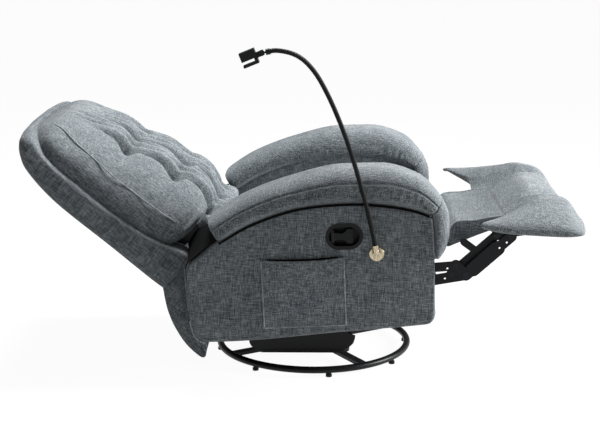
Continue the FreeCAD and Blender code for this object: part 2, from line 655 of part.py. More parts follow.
# Footrest linkage, both sides of each link in one node
front_link = bar(FRONT_PIVOT, KNEE, LINK_W, *layer(1)).fuse(bar(control_pin, KNEE, LINK_W, *layer(1))).removeSplitter()
cross_at = along(FRONT_PIVOT, KNEE, CROSS_TUBE_AT)
front_link = front_link.cut([hole(FRONT_PIVOT, RUNNING), hole(KNEE, SEATED), hole(control_pin, SEATED),
                             spare_hole((376, 279))])
export("front_links", *both_sides(front_link))
tube_half = PLATE_Y + LAYER
cross_tube = rod(cross_at, CROSS_TUBE_R, -tube_half, tube_half)
export("footrest_cross_tube", cross_tube.cut(rod(cross_at, CROSS_TUBE_R - CROSS_TUBE_WALL, -tube_half, tube_half)))

broad_part = bar(along(KNEE, PAD_PIVOT, 0.16), along(KNEE, PAD_PIVOT, 0.7), BROAD_LINK_W, *layer(2))
pad_link = bar(KNEE, PAD_PIVOT, LINK_W, *layer(2)).fuse([bar(KNEE, ELBOW, LINK_W, *layer(2)), broad_part])
pad_link = pad_link.removeSplitter()
pad_link = pad_link.cut([hole(KNEE, RUNNING), hole(PAD_PIVOT, SEATED), hole(ELBOW, SEATED),
                         spare_hole((548, 387)), spare_hole((528, 371))])
export("pad_links", *both_sides(pad_link))

rear_link = bar(REAR_PIVOT, ELBOW, LINK_W - 4, *layer(3))
rear_link = rear_link.cut([hole(REAR_PIVOT, RUNNING), hole(ELBOW, OPEN_CLEARANCE),
                           spare_hole((381, 312))])
export("rear_links", *both_sides(rear_link))

control_link = bar(control_pin, pad_control_pin, SLIM_LINK_W, *layer(0))
stay_foot = along(control_pin, pad_control_pin, 0.57)
control_link = control_link.fuse(bar(stay_foot, STAY_TIP, SLIM_LINK_W - 6, *layer(0))).removeSplitter()
control_link = control_link.cut([hole(control_pin, RUNNING), hole(pad_control_pin, RUNNING)])
export("control_links", *both_sides(control_link))

export("plate_pivot_pins", *both_sides(pin(FRONT_PIVOT, 0, 1)), *both_sides(pin(REAR_PIVOT, 0, 3)))
export("knee_pins", *both_sides(pin(KNEE, 1, 2)), *both_sides(pin(control_pin, 0, 1)))
export("pad_link_pins", *both_sides(pin(ELBOW, 2, 3)), *both_sides(pin(PAD_PIVOT, 1, 2)))

foot_bracket = plate(*layer(1), (BOARD_REAR + 8, BOARD_Z), (BOARD_REAR + 4, pad_control_pin[1]),
                     ((pad_control_pin[0] - 2, pad_control_pin[1] - 13), (pad_control_pin[0] + 12, pad_control_pin[1] - 8)),
                     (PAD_PIVOT[0] - 12, PAD_PIVOT[1] - 10),
                     ((PAD_PIVOT[0] + 3, PAD_PIVOT[1] - 15), (PAD_PIVOT[0] + 15, PAD_PIVOT[1])), (BOARD_FRONT - 80, BOARD_Z - 6),
                     (BOARD_FRONT - 60, BOARD_Z))
foot_bracket = foot_bracket.cut([hole(PAD_PIVOT, RUNNING), hole(pad_control_pin, SEATED)])
flange_y = (layer(1)[1], layer(1)[1] + 26)
foot_flange = block((BOARD_REAR + 8, flange_y[0], BOARD_Z - 3), (BOARD_FRONT - 60, flange_y[1], BOARD_Z))
flange_notch = bar(pad_control_pin, PAD_PIVOT, SLIM_LINK_W + 4, *layer(0))
foot_bracket = foot_bracket.fuse(foot_flange.cut(flange_notch)).removeSplitter()
export("footrest_brackets", *both_sides(foot_bracket))
export("footrest_control_pins", *both_sides(pin(pad_control_pin, 0, 1)))
board = block((BOARD_REAR, -BOARD_HALF, BOARD_Z), (BOARD_FRONT, BOARD_HALF, BOARD_Z + BOARD_T))
board = board.cut(block((BOARD_REAR, -CHAISE_HALF - 10, BOARD_Z), (BOARD_MID_REAR, CHAISE_HALF + 10, BOARD_Z + BOARD_T)))
export("footrest_board", board)

pad_bottom = BOARD_Z + BOARD_T + SOFT_GAP


def footrest_section(y, tail, nose, crown, tail_z, base=pad_bottom):
    """A section along the footrest pad: tail towards the seat, crown, rounded nose."""
    ridge = tail + 0.42 * (nose - tail)
    rise = crown - base
    return wire(at_side(y), (tail + 8, base), ((tail - 4, (base + tail_z) / 2), (tail + 6, tail_z)),
                ((along((tail, tail_z), (ridge, crown), 0.5)[0], (tail_z + crown) / 2 + 0.07 * rise), (ridge, crown)),
                ((ridge + 0.64 * (nose - ridge), crown - 0.14 * rise), (nose - 8, base + 0.42 * rise)),
                ((nose, base + 0.2 * rise), (nose - 8, base)))


half_sections = [(WING_HALF, 448, 712, 480, 476, 460), (WING_HALF - 12, 437, 732, 492, 488, 450),
                 (WING_HALF - 64, 442, 744, 506, 480, 442), (BOARD_HALF + 26, 452, 750, 518, 471, 437),
                 (236, 468, 753, 528, 464), (206, 504, 754, 525, 462), (174, 542, 752, 514, 462),
                 (120, 550, 748, 505, 462), (60, 552, 752, 512, 464)]
footrest_sections = [footrest_section(-y, *rest) for y, *rest in half_sections]
footrest_sections += [footrest_section(y, *rest) for y, *rest in reversed(half_sections)]
export("footrest_pad", loft(footrest_sections))

# Chaise pad: bridges the seat and the footrest on its own hinge board
CHAISE_BOARD_T = 8.0
LEAF_T = 3.0


def chaise_board_line(offset):
    """Two points of a line along the chaise, this far above the underside of its board."""
    return (366 - 0.4 * offset, 364 + 0.92 * offset), (478 - 0.4 * offset, 411 + 0.92 * offset)


low, high = chaise_board_line(0), chaise_board_line(CHAISE_BOARD_T)
chaise_board = plate(-CHAISE_HALF + 10, CHAISE_HALF - 10, low[0], low[1], high[1], high[0])
knuckle_r = 7.0
leaf = chaise_board_line(-LEAF_T)
knuckle = rod(CHAISE_PIVOT, knuckle_r, -60, 60)
knuckle = knuckle.fuse(plate(-60, 60, (CHAISE_PIVOT[0], CHAISE_PIVOT[1] - knuckle_r), leaf[0], along(*leaf, 0.4),
                             along(*low, 0.4), low[0], (CHAISE_PIVOT[0], CHAISE_PIVOT[1])))
knuckle = knuckle.removeSplitter().cut(rod(CHAISE_PIVOT, PIN_R + RUNNING, -60, 60))
export("chaise_board", chaise_board)
export("chaise_hinge_leaf", knuckle)
ear_y = ((-90.0, -60.0 - FACE_GAP), (60.0 + FACE_GAP, 90.0))
ears = []
for y0, y1 in ear_y:
    ear = rod(CHAISE_PIVOT, knuckle_r, y0, y1)
    ear = ear.fuse(plate(y0, y1, (front_rail_x[1], rail_bottom + 4), (front_rail_x[1] + 36, rail_bottom + 4),
                         (CHAISE_PIVOT[0] + 5, CHAISE_PIVOT[1] - 5), (CHAISE_PIVOT[0] - knuckle_r, CHAISE_PIVOT[1]),
                         (CHAISE_PIVOT[0] - knuckle_r - 1, DECK_Z - 4), (front_rail_x[1], DECK_Z - 4)))
    ears.append(ear.removeSplitter().cut(rod(CHAISE_PIVOT, PIN_R + SEATED, y0, y1)))
export("chaise_hinge_ears", *ears)
export("chaise_hinge_pin", rod(CHAISE_PIVOT, PIN_R, -94, 94))


def chaise_section(y, rise, reach):
    """A section along the chaise pad, from the seat's edge to the footrest."""
    root, tip = chaise_board_line(CHAISE_BOARD_T + SOFT_GAP)
    tip = along(root, tip, reach)
    return wire(at_side(y), root, ((root[0] - 12, root[1] + 16), (root[0] - 2, root[1] + 0.7 * rise)),
                ((root[0] + 42, root[1] + rise + 14), (tip[0] - 20, tip[1] + 0.6 * rise)),
                ((tip[0] + 2, tip[1] + 0.36 * rise), tip))


chaise_half = [(CHAISE_HALF, 30, 1.06), (CHAISE_HALF - 16, 44, 1.2), (90, 47, 1.42)]
chaise_pad = loft([chaise_section(-y, *rest) for y, *rest in chaise_half]
                  + [chaise_section(y, *rest) for y, *rest in reversed(chaise_half)])
export("chaise_pad", chaise_pad)

# Side pocket: a cloth front with gussets, open at the top
pocket_face = panel_face - POCKET_GAP - CLOTH_T
pocket = block((POCKET_REAR, pocket_face, POCKET_BOTTOM), (POCKET_FRONT, panel_face, POCKET_TOP))
pocket = pocket.cut(block((POCKET_REAR + CLOTH_T, pocket_face + CLOTH_T, POCKET_BOTTOM + CLOTH_T),
                          (POCKET_FRONT - CLOTH_T, panel_face, POCKET_TOP + CLOTH_T)))
pocket_mid = ((POCKET_REAR + POCKET_FRONT) / 2, (POCKET_BOTTOM + POCKET_TOP) / 2)
export("side_pocket", tilted(pocket, *pocket_mid))

# Release lever: moulded cup with a rim, and a sprung paddle in it
bezel = stadium(BEZEL_L, BEZEL_H, panel_face - BEZEL_PROUD, panel_face)
bezel = bezel.fuse(stadium(cup_l - SEATED, cup_h - SEATED, panel_face - BEZEL_PROUD, cup_floor - SEATED))
bezel = bezel.cut(stadium(cup_l - 2 * CUP_WALL, cup_h - 2 * CUP_WALL, panel_face - BEZEL_PROUD, cup_floor - CUP_WALL))
lever_hinge = (LEVER_X - cup_l / 2 + 12, panel_face + 3)
lever_top, lever_bottom = LEVER_Z + 12, LEVER_Z - 12
pivot_rod = Part.makeCylinder(3, lever_top - lever_bottom + 12, V(lever_hinge[0], lever_hinge[1], lever_bottom - 6))
lugs = []
for z in (lever_bottom - 6, lever_top + FACE_GAP):
    lug = block((lever_hinge[0] - 6, lever_hinge[1] - 4, z), (lever_hinge[0] + 5, cup_floor - CUP_WALL, z + 6 - FACE_GAP))
    lugs.append(lug)
bezel = bezel.fuse(lugs).removeSplitter().cut(pivot_rod)
export("lever_bezel", tilted(bezel, LEVER_X, LEVER_Z))
export("lever_pin", tilted(Part.makeCylinder(3 - SEATED, lever_top - lever_bottom + 12 - 2 * FACE_GAP,
                                             V(lever_hinge[0], lever_hinge[1], lever_bottom - 6 + FACE_GAP)), LEVER_X, LEVER_Z))
paddle_y = (panel_face - 1, panel_face - 1 + PADDLE_T)
paddle_end = LEVER_X + cup_l / 2 - 20
paddle = plate(*paddle_y, (lever_hinge[0], lever_bottom), (LEVER_X - 8, lever_bottom + 4),
               ((LEVER_X + 2, lever_bottom), (LEVER_X + 8, LEVER_Z - 20)), (paddle_end - 5, LEVER_Z - 20),
               ((paddle_end - 1.5, LEVER_Z - 18.5), (paddle_end, LEVER_Z - 15)), (paddle_end, LEVER_Z + 15),
               ((paddle_end - 1.5, LEVER_Z + 18.5), (paddle_end - 5, LEVER_Z + 20)), (LEVER_X + 8, LEVER_Z + 20),
               ((LEVER_X + 2, lever_top), (LEVER_X - 8, lever_top - 4)), (lever_hinge[0], lever_top))
barrel = Part.makeCylinder(5.5, lever_top - lever_bottom, V(lever_hinge[0], lever_hinge[1], lever_bottom))
paddle = paddle.fuse(barrel).cut(Part.makeCylinder(3 + RUNNING, 80, V(lever_hinge[0], lever_hinge[1], LEVER_Z - 40)))
export("lever_paddle", tilted(paddle, LEVER_X, LEVER_Z))

# Phone holder: rosette on the arm, bendable neck, tilting clamp with a sprung jaw
rosette_y = (panel_face - GROMMET_T, panel_face)
rosette_at = (GROMMET_X, GROMMET_Z)
rosette = rod(rosette_at, GROMMET_R, *rosette_y)
rim = [e for e in rosette.Edges if abs(e.BoundBox.YMax - rosette_y[0]) < 1e-3 and e.Length > GROMMET_R]
rosette = rosette.makeFillet(GROMMET_T * 0.6, rim).fuse(rod(rosette_at, PIN_R, panel_face - 1, panel_face + 26))
stud_y = (-NECK_Y - NECK_R - 3, rosette_y[0])
stud = rod(rosette_at, PIN_R, stud_y[0], stud_y[1] + 1)
export("holder_rosette", rosette.fuse(stud).removeSplitter())
socket_y = (-NECK_Y - NECK_R - 2, rosette_y[0] - FACE_GAP)
socket = rod(rosette_at, 13, *socket_y).cut(rod(rosette_at, PIN_R + RUNNING, *socket_y))
neck_points = [V(x, -NECK_Y, z) for x, z in NECK_ROUTE]
neck_path, neck_radii = smooth_path(neck_points)
print("phone neck radii, mm:", [round(r) for r in neck_radii])
neck = tube(neck_path, NECK_R)
neck_start = neck_points[0]
neck_way = (neck_points[1] - neck_points[0]).normalize()
boss = Part.makeCylinder(NECK_R + 2.5, 26, neck_start - neck_way * 4, neck_way)
boss = boss.fuse(socket).cut([tube(neck_path, NECK_R + SEATED), rod(rosette_at, PIN_R + RUNNING, stud_y[0] - 1, stud_y[1])])
export("neck_socket", boss)
neck = neck.cut(rod(rosette_at, PIN_R + 2, *socket_y))
export("phone_neck", neck)
print("phone neck volume ratio", round(tube(neck_path, NECK_R).Volume / (math.pi * NECK_R ** 2 * neck_path.Length), 4))

neck_end = neck_points[-1]
end_way = (neck_points[-1] - neck_points[-2]).normalize()
joint_at = neck_end + end_way * 12
knob_y = (-NECK_Y - 8, -NECK_Y + 8)
knob_hole = rod((joint_at.x, joint_at.z), 3 + RUNNING, *knob_y)
tongue = rod((joint_at.x, joint_at.z), 8, -NECK_Y - 3, -NECK_Y + 3)
ferrule = Part.makeCylinder(NECK_R + 1.5, 12, neck_end - end_way * 11, end_way).cut(neck)
tongue_web = Part.makeCylinder(3 - FACE_GAP, 11, neck_end + end_way * 0.5, end_way)
export("neck_ferrule", ferrule.fuse([tongue_web, tongue]).cut(knob_hole))


def in_clamp(solid):
    """The clamp drawn level with its pivot at the origin, put on the end of the neck."""
    turned = solid.rotated(V(0, 0, 0), V(0, 1, 0), -CLAMP_TILT)
    return turned.translated(joint_at)


clamp_y = CLAMP_W / 2
back_x = -14.0
shoe_x = back_x - CLAMP_L
spine = block((back_x - 8, -clamp_y, -CLAMP_H / 2), (back_x, clamp_y, CLAMP_H / 2))
lower_lip = block((shoe_x, -clamp_y, -CLAMP_H / 2), (back_x - 8, clamp_y, -CLAMP_H / 2 + 7))
cheek = block((back_x, -9, -7), (6, -3 - FACE_GAP, 7))
cheek_far = block((back_x, 3 + FACE_GAP, -7), (6, 9, 7))
screw = rod((0, 0), 3, -11, 11)
clamp = spine.fuse([lower_lip, cheek, cheek_far]).removeSplitter().cut(rod((0, 0), 3 + SEATED, -12, 12))
guide = block((back_x - 9, -6, -CLAMP_H / 2 + 9), (back_x - 2, 6, CLAMP_H / 2 + 1))
jaw_foot = -CLAMP_H / 2 + 7 + CLAMP_GAP
jaw = block((shoe_x, -clamp_y, jaw_foot), (back_x - 8 - FACE_GAP, clamp_y, CLAMP_H / 2))
jaw_guide = block((back_x - 8 - FACE_GAP, -5.6, jaw_foot + 4), (back_x - 2.4, 5.6, CLAMP_H / 2))
export("clamp_body", in_clamp(clamp.cut(guide)))
export("clamp_jaw", in_clamp(jaw.fuse(jaw_guide).removeSplitter()))
export("clamp_screw", in_clamp(screw.fuse(rod((0, 0), 6, -14, -9 - SEATED))))
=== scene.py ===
# %% [markdown]
# A swivel rocking recliner, shown laid back with its footrest out. The imported model gives the steel
# mechanism, the base and the joints. Upholstery is soft, so every cushion, panel and pad is made here
# as a surface of numbers and laid over the frame in the same place.

# %% Load the frame
import json
import math

import bpy
import numpy as np
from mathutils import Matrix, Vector


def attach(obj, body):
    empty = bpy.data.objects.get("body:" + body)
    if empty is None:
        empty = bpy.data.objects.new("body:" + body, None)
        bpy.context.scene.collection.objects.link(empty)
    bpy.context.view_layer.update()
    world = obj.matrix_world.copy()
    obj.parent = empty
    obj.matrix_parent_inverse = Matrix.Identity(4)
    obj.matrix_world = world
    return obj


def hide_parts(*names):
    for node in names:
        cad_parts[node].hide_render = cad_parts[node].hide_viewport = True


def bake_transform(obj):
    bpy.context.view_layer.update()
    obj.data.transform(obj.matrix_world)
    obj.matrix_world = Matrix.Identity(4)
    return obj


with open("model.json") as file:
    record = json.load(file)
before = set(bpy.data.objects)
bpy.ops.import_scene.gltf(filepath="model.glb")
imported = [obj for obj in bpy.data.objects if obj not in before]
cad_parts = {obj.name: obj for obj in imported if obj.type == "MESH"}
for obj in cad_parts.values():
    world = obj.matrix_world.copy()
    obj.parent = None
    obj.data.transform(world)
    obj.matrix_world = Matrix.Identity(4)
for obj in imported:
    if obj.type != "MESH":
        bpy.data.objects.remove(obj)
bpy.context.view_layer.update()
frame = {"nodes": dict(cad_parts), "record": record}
scene = bpy.context.scene
MM = 0.001
ROCKED_BACK = 2.5          # degrees the seat body is shown rocked back by
BACK_LEAN = 40.0           # degrees the back rises from level

# %% [markdown]
# The camera stands at the chair's right, a little above it, with a long lens as in a catalogue picture.
# Its place is written as a target, two angles and a distance, because those are easy to read and change.

# %% Camera
TARGET = Vector((-41.9, 0.0, 398.5)) * MM
ELEVATION, AZIMUTH, DISTANCE = math.radians(13.05), math.radians(0.77), 3.9135
back_way = Vector((math.sin(AZIMUTH) * math.cos(ELEVATION), -math.cos(AZIMUTH) * math.cos(ELEVATION),
                   math.sin(ELEVATION)))
camera = bpy.data.objects.new("camera", bpy.data.cameras.new("camera"))
scene.collection.objects.link(camera)
camera.location = TARGET + back_way * DISTANCE
camera.rotation_mode = "QUATERNION"
camera.rotation_quaternion = (-back_way).to_track_quat("-Z", "Y")
camera.data.sensor_fit = "HORIZONTAL"
camera.data.sensor_width = 36.0
camera.data.lens = 36.0 * 1295.9 / 600      # 1295.9 pixels of focal length in a picture 600 wide
scene.camera = camera
scene.view_settings.view_transform = "Standard"
print("camera lens:", round(camera.data.lens, 1), "mm")

# %% [markdown]
# Materials are small graphs of nodes. One function adds a node: sockets are set by name, and a value that
# is itself a socket is linked. Colours are written as the hex values a designer would use.

# %% Colours and nodes


def colour(code):
    """Linear RGBA of an sRGB hex colour: below 0.04045 a straight line, above it a 2.4 power."""
    values = np.array([int(code[i:i + 2], 16) for i in (1, 3, 5)]) / 255
    linear = np.where(values <= 0.04045, values / 12.92, ((values + 0.055) / 1.055) ** 2.4)
    return (*linear.tolist(), 1.0)


def add(tree, kind, sockets=(), **settings):
    """Add a node, set its options, then set or link its sockets."""
    node = tree.nodes.new("ShaderNode" + kind)
    for name, value in settings.items():
        setattr(node, name, value)
    for name, value in dict(sockets).items():
        if isinstance(value, bpy.types.NodeSocket):
            tree.links.new(value, node.inputs[name])
        else:
            node.inputs[name].default_value = value
    return node


def finish_named(name):
    """An empty material with its node tree, the shader and the object's own coordinates."""
    made = bpy.data.materials.new(name)
    made.use_nodes = True
    tree = made.node_tree
    return made, tree, tree.nodes["Principled BSDF"], add(tree, "TexCoord").outputs["Object"]


def ramp(tree, value, *stops):
    """A colour ramp through (place, hex colour) stops."""
    node = add(tree, "ValToRGB", {"Fac": value})
    band = node.color_ramp.elements
    while len(band) < len(stops):
        band.new(0.5)
    for element, (place, code) in zip(band, stops):
        element.position = place
        element.color = colour(code)
    return node.outputs["Color"]


# %% [markdown]
# The cover is a mélange weave, like linen: dark and light yarns, each with thick and thin places. Threads
# are drawn 1.5 mm wide and 22 mm long. Three stretched noises, one along each axis, are added: on any face
# two of them cross as threads and the third shows as grain, so no UV map is needed, which a cushion has no
# good way to unroll. A Mapping node turns them to the piece's slope.

# %% Upholstery cloth
THREAD = 1 / 0.0015        # across the thread
SLUB = 1 / 0.022           # and along it
YARNS = ((SLUB, THREAD, THREAD), (THREAD, SLUB, THREAD), (THREAD, THREAD, SLUB))


def linen(name, slope, dark="#3D4346", middle="#666C70", light="#979DA0"):
    """Woven cloth, its threads turned by slope (degrees) about Y."""
    made, tree, shader, place = finish_named(name)
    turn = (0, math.radians(slope), 0)
    turned = add(tree, "Mapping", {"Vector": place, "Rotation": turn}).outputs["Vector"]
    threads = []
    for scale in YARNS:
        stretched = add(tree, "Mapping", {"Vector": turned, "Scale": scale}).outputs["Vector"]
        noise = add(tree, "TexNoise", {"Vector": stretched, "Scale": 1.0, "Detail": 1.0})
        threads.append(noise.outputs["Fac"])
    weave = add(tree, "Math", {0: threads[0], 1: threads[1]}, operation="ADD").outputs[0]
    weave = add(tree, "Math", {0: weave, 1: threads[2]}, operation="ADD").outputs[0]
    weave = add(tree, "MapRange", {"Value": weave, "From Min": 1.15, "From Max": 1.85}).outputs["Result"]
    cloth = ramp(tree, weave, (0.12, dark), (0.5, middle), (0.88, light))
    patches = add(tree, "TexNoise", {"Vector": turned, "Scale": 1 / 0.045, "Detail": 3.0}).outputs["Fac"]
    shade = ramp(tree, patches, (0.3, "#E0E3E5"), (0.7, "#FFFFFF"))
    mixed = add(tree, "Mix", {"Factor": 1.0, 6: cloth, 7: shade}, data_type="RGBA", blend_type="MULTIPLY")
    tree.links.new(mixed.outputs[2], shader.inputs["Base Color"])
    bump = add(tree, "Bump", {"Height": weave, "Strength": 0.25, "Distance": 0.0008})
    tree.links.new(bump.outputs["Normal"], shader.inputs["Normal"])
    shader.inputs["Roughness"].default_value = 0.92
    shader.inputs["Sheen Weight"].default_value = 0.2
    shader.inputs["Sheen Roughness"].default_value = 0.5
    shader.inputs["Specular IOR Level"].default_value = 0.25
    return made


cloth_seat = linen("woven_linen_seat", -ROCKED_BACK)
cloth_back = linen("woven_linen_back", -BACK_LEAN)
cloth_foot = linen("woven_linen_footrest", -12.0)
# The piping is the same weave drawn lighter: a painted highlight along each raised bead.
piping_painted_highlight = linen("woven_linen_piping_painted_highlight", 0.0, "#5E6467", "#8D9396", "#BCC1C4")
print("cloth:", [m.name for m in (cloth_seat, cloth_back, cloth_foot, piping_painted_highlight)])

# %% [markdown]
# Hard finishes. Each starts from what the real surface is, and its grain is a noise of a real size: powder
# coat has a fine orange-peel skin, moulded plastic a spark-eroded grain, brass a brushed face.

# %% Hard finishes


def hard(name, base, other, grain, rough, metallic=0.0, bump=0.1, stretch=(1, 1, 1), specular=0.2):
    """A hard finish: two near colours mixed by a noise of this grain (mm), which also moves the gloss."""
    made, tree, shader, place = finish_named(name)
    scale = tuple(s / (grain * MM) for s in stretch)
    stretched = add(tree, "Mapping", {"Vector": place, "Scale": scale}).outputs["Vector"]
    noise = add(tree, "TexNoise", {"Vector": stretched, "Scale": 1.0, "Detail": 3.0}).outputs["Fac"]
    tree.links.new(ramp(tree, noise, (0.3, base), (0.7, other)), shader.inputs["Base Color"])
    gloss = add(tree, "MapRange", {"Value": noise, "From Min": 0.3, "From Max": 0.7,
                                   "To Min": rough - 0.06, "To Max": rough + 0.06}).outputs["Result"]
    tree.links.new(gloss, shader.inputs["Roughness"])
    skin_bump = add(tree, "Bump", {"Height": noise, "Strength": bump, "Distance": grain * MM * 0.3})
    tree.links.new(skin_bump.outputs["Normal"], shader.inputs["Normal"])
    shader.inputs["Metallic"].default_value = metallic
    shader.inputs["Specular IOR Level"].default_value = specular
    return made


powder_coat = hard("powder_coated_steel", "#0B0C0D", "#131417", 2.2, 0.38)
link_coat = hard("powder_coated_links", "#0F1012", "#191B1E", 2.6, 0.42)
pin_coat = hard("zinc_black_rivets", "#1B1D20", "#2C2F33", 3.0, 0.34, 0.6)
spring_steel = hard("oil_tempered_spring_wire", "#2A2C2E", "#3B3D40", 4.0, 0.35, 0.9)
ball_steel = hard("polished_ball_steel", "#A9ABAD", "#BFC1C3", 6.0, 0.14, 1.0, 0.02)
frame_wood = hard("raw_plywood", "#A98656", "#C7A674", 5.0, 0.7, 0.0, 0.2, (0.05, 1, 1))
webbing = hard("black_polypropylene_webbing", "#17181A", "#26282B", 3.0, 0.75, 0.0, 0.4, (0.3, 1, 1))
nylon = hard("moulded_nylon", "#C9C6BD", "#D8D5CC", 3.0, 0.45)
foot_plastic = hard("moulded_polyethylene_feet", "#0E0F10", "#17181A", 2.5, 0.5)
lever_plastic = hard("spark_eroded_abs", "#0C0D0E", "#141618", 2.4, 0.4, 0.0, 0.2)
clamp_plastic = hard("moulded_abs_clamp", "#121315", "#1C1E20", 2.4, 0.36, 0.0, 0.15)
brass = hard("brushed_champagne_brass", "#8F8163", "#D6CBB2", 1.2, 0.18, 1.0, 0.08, (1, 1, 0.08))
neck_sleeve = hard("ribbed_rubber_sleeve", "#0D0E0F", "#17181A", 2.0, 0.46, 0.0, 0.1)
dust_cloth = hard("black_spunbond_cloth", "#050506", "#0C0D0E", 3.0, 0.9, 0.0, 0.3, specular=0.1)

slot_finish = {"black_steel": powder_coat, "link_steel": link_coat, "pin_steel": pin_coat,
               "spring_steel": spring_steel, "ball_steel": ball_steel, "frame_wood": frame_wood,
               "nylon": nylon, "foot_plastic": foot_plastic, "lever_plastic": lever_plastic,
               "holder_brass": brass, "neck_sleeve": neck_sleeve, "clamp_plastic": clamp_plastic,
               "dust_cloth": dust_cloth, "upholstery": cloth_seat}
print("hard finishes:", len(slot_finish))

# %% [markdown]
# Every new piece is a skin over a grid of points: rows along the piece, columns round it. Lines through a
# few measured points are cubic pieces whose slopes never overshoot, so a drawn-in edge stays drawn in.

# %% Skins, lines and beads


def curve(x, knots, values):
    """Smooth values at x: cubic Hermite pieces, each knot's slope the harmonic mean of its neighbours'."""
    x, knots = np.asarray(x, float), np.asarray(knots, float)
    values = np.asarray(values, float).reshape(len(knots), -1)
    step = np.diff(knots)[:, None]
    slope = np.diff(values, axis=0) / step
    same = slope[:-1] * slope[1:] > 0
    inner = np.where(same, 2 * slope[:-1] * slope[1:] / np.where(same, slope[:-1] + slope[1:], 1), 0)
    tangent = np.vstack([slope[:1], inner, slope[-1:]])
    at = np.clip(np.searchsorted(knots, x) - 1, 0, len(knots) - 2)
    t = np.clip((x - knots[at]) / (knots[at + 1] - knots[at]), 0, 1)[..., None]
    h = step[at]
    made = ((1 + 2 * t) * (1 - t) ** 2 * values[at] + t * (1 - t) ** 2 * h * tangent[at]
            + t * t * (3 - 2 * t) * values[at + 1] + t * t * (t - 1) * h * tangent[at + 1])
    return made[..., 0] if made.shape[-1] == 1 else made


def outline(points, count, closed=True):
    """Points spaced evenly along the smooth line through these points (Catmull-Rom, ten parts a run)."""
    p = np.asarray(points, float)
    p = np.vstack([p[-1:], p, p[:2]]) if closed else np.vstack([2 * p[:1] - p[1:2], p, 2 * p[-1:] - p[-2:-1]])
    a, b, c, d = (p[i:len(p) - 3 + i, None] for i in range(4))
    t = np.linspace(0, 1, 10, endpoint=False)[None, :, None]
    fine = 0.5 * (2 * b + (c - a) * t + (2 * a - 5 * b + 4 * c - d) * t ** 2
                  + (3 * b - a - 3 * c + d) * t ** 3)
    fine = np.vstack([fine.reshape(-1, p.shape[1]), p[-2:-1]])
    run = np.concatenate([[0], np.cumsum(np.linalg.norm(np.diff(fine, axis=0), axis=1))])
    where = np.linspace(0, run[-1], count, endpoint=not closed)
    return np.stack([np.interp(where, run, fine[:, k]) for k in range(p.shape[1])], -1)


def skin(name, grid, finish, closed=True, capped=True, drop=None, rings=True):
    """A mesh over a grid of points in mm. Closed joins the last column to the first, capped fills both
    ends, with rings that shrink to a middle point or flat, drop(face middles) removes faces."""
    grid = np.asarray(grid, float)
    if capped and rings:
        shares = np.array([0.02, 0.3, 0.6, 0.85, 0.97])[:, None, None]
        ends = [grid[i].mean(0) + (grid[i] - grid[i].mean(0)) * shares for i in (0, -1)]
        grid = np.concatenate([ends[0], grid, ends[1][::-1]])
    rows, columns = grid.shape[:2]
    index = np.arange(rows * columns).reshape(rows, columns)
    left, right = (index, np.roll(index, -1, 1)) if closed else (index[:, :-1], index[:, 1:])
    faces = np.stack([left[:-1], right[:-1], right[1:], left[1:]], -1).reshape(-1, 4)
    points = grid.reshape(-1, 3)
    corner = points[faces]
    inside = np.einsum("ij,ij->i", corner[:, 0], np.cross(corner[:, 1], corner[:, 2]))
    inside += np.einsum("ij,ij->i", corner[:, 0], np.cross(corner[:, 2], corner[:, 3]))
    if closed and capped and inside.sum() < 0:
        faces = faces[:, ::-1]
    if drop is not None:
        faces = faces[~drop(points[faces].mean(1))]
    polygons = faces.tolist()
    if capped:
        polygons += [index[0].tolist(), index[-1][::-1].tolist()] if inside.sum() < 0 else \
            [index[0][::-1].tolist(), index[-1].tolist()]
    mesh = bpy.data.meshes.new(name)
    mesh.from_pydata((points * MM).tolist(), [], polygons)
    mesh.polygons.foreach_set("use_smooth", np.ones(len(polygons), bool))
    mesh.materials.append(finish)
    piece = bpy.data.objects.new(name, mesh)
    scene.collection.objects.link(piece)
    return piece


def bead(name, line, radius, finish, sides=8):
    """A round bead along a line: circles across it, kept upright by one fixed direction."""
    line = np.asarray(line, float)
    way = np.gradient(line, axis=0)
    way /= np.linalg.norm(way, axis=1)[:, None]
    aside = np.cross(way, [0.31, 0.87, 0.38])
    aside /= np.linalg.norm(aside, axis=1)[:, None]
    turn = np.linspace(0, 2 * math.pi, sides, endpoint=False)[None, :, None]
    radius = np.broadcast_to(np.asarray(radius, float), len(line))[:, None, None]
    ring = aside[:, None] * np.cos(turn) + np.cross(way, aside)[:, None] * np.sin(turn)
    return skin(name, line[:, None] + radius * ring, finish)


def settle(piece, body, *nodes, slot="upholstery", fill=None):
    """Put a piece on its body and hide the nodes it stands for; the slot argument is not used."""
    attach(piece, body)
    if nodes:
        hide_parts(*nodes)
    print(piece.name, len(piece.data.polygons), "faces on", body)
    return piece


# %% [markdown]
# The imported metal, wood and plastic pieces keep their shapes. Each gets the finish of its slot.

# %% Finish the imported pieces
for row in frame["record"]["subparts"]:
    packed = frame["nodes"][row["node"]]
    packed.data.materials.clear()
    packed.data.materials.append(slot_finish[row["material_slot"]])
frame["nodes"]["seat_straps"].data.materials[0] = webbing
for name in ("footrest_board", "chaise_board", "seat_rails"):       # wood wrapped in black cloth
    frame["nodes"][name].data.materials[0] = dust_cloth
for name in ("clamp_body", "clamp_jaw"):
    rounded = frame["nodes"][name].modifiers.new("moulded_edge", "BEVEL")
    rounded.width = 0.0022
    rounded.segments = 3
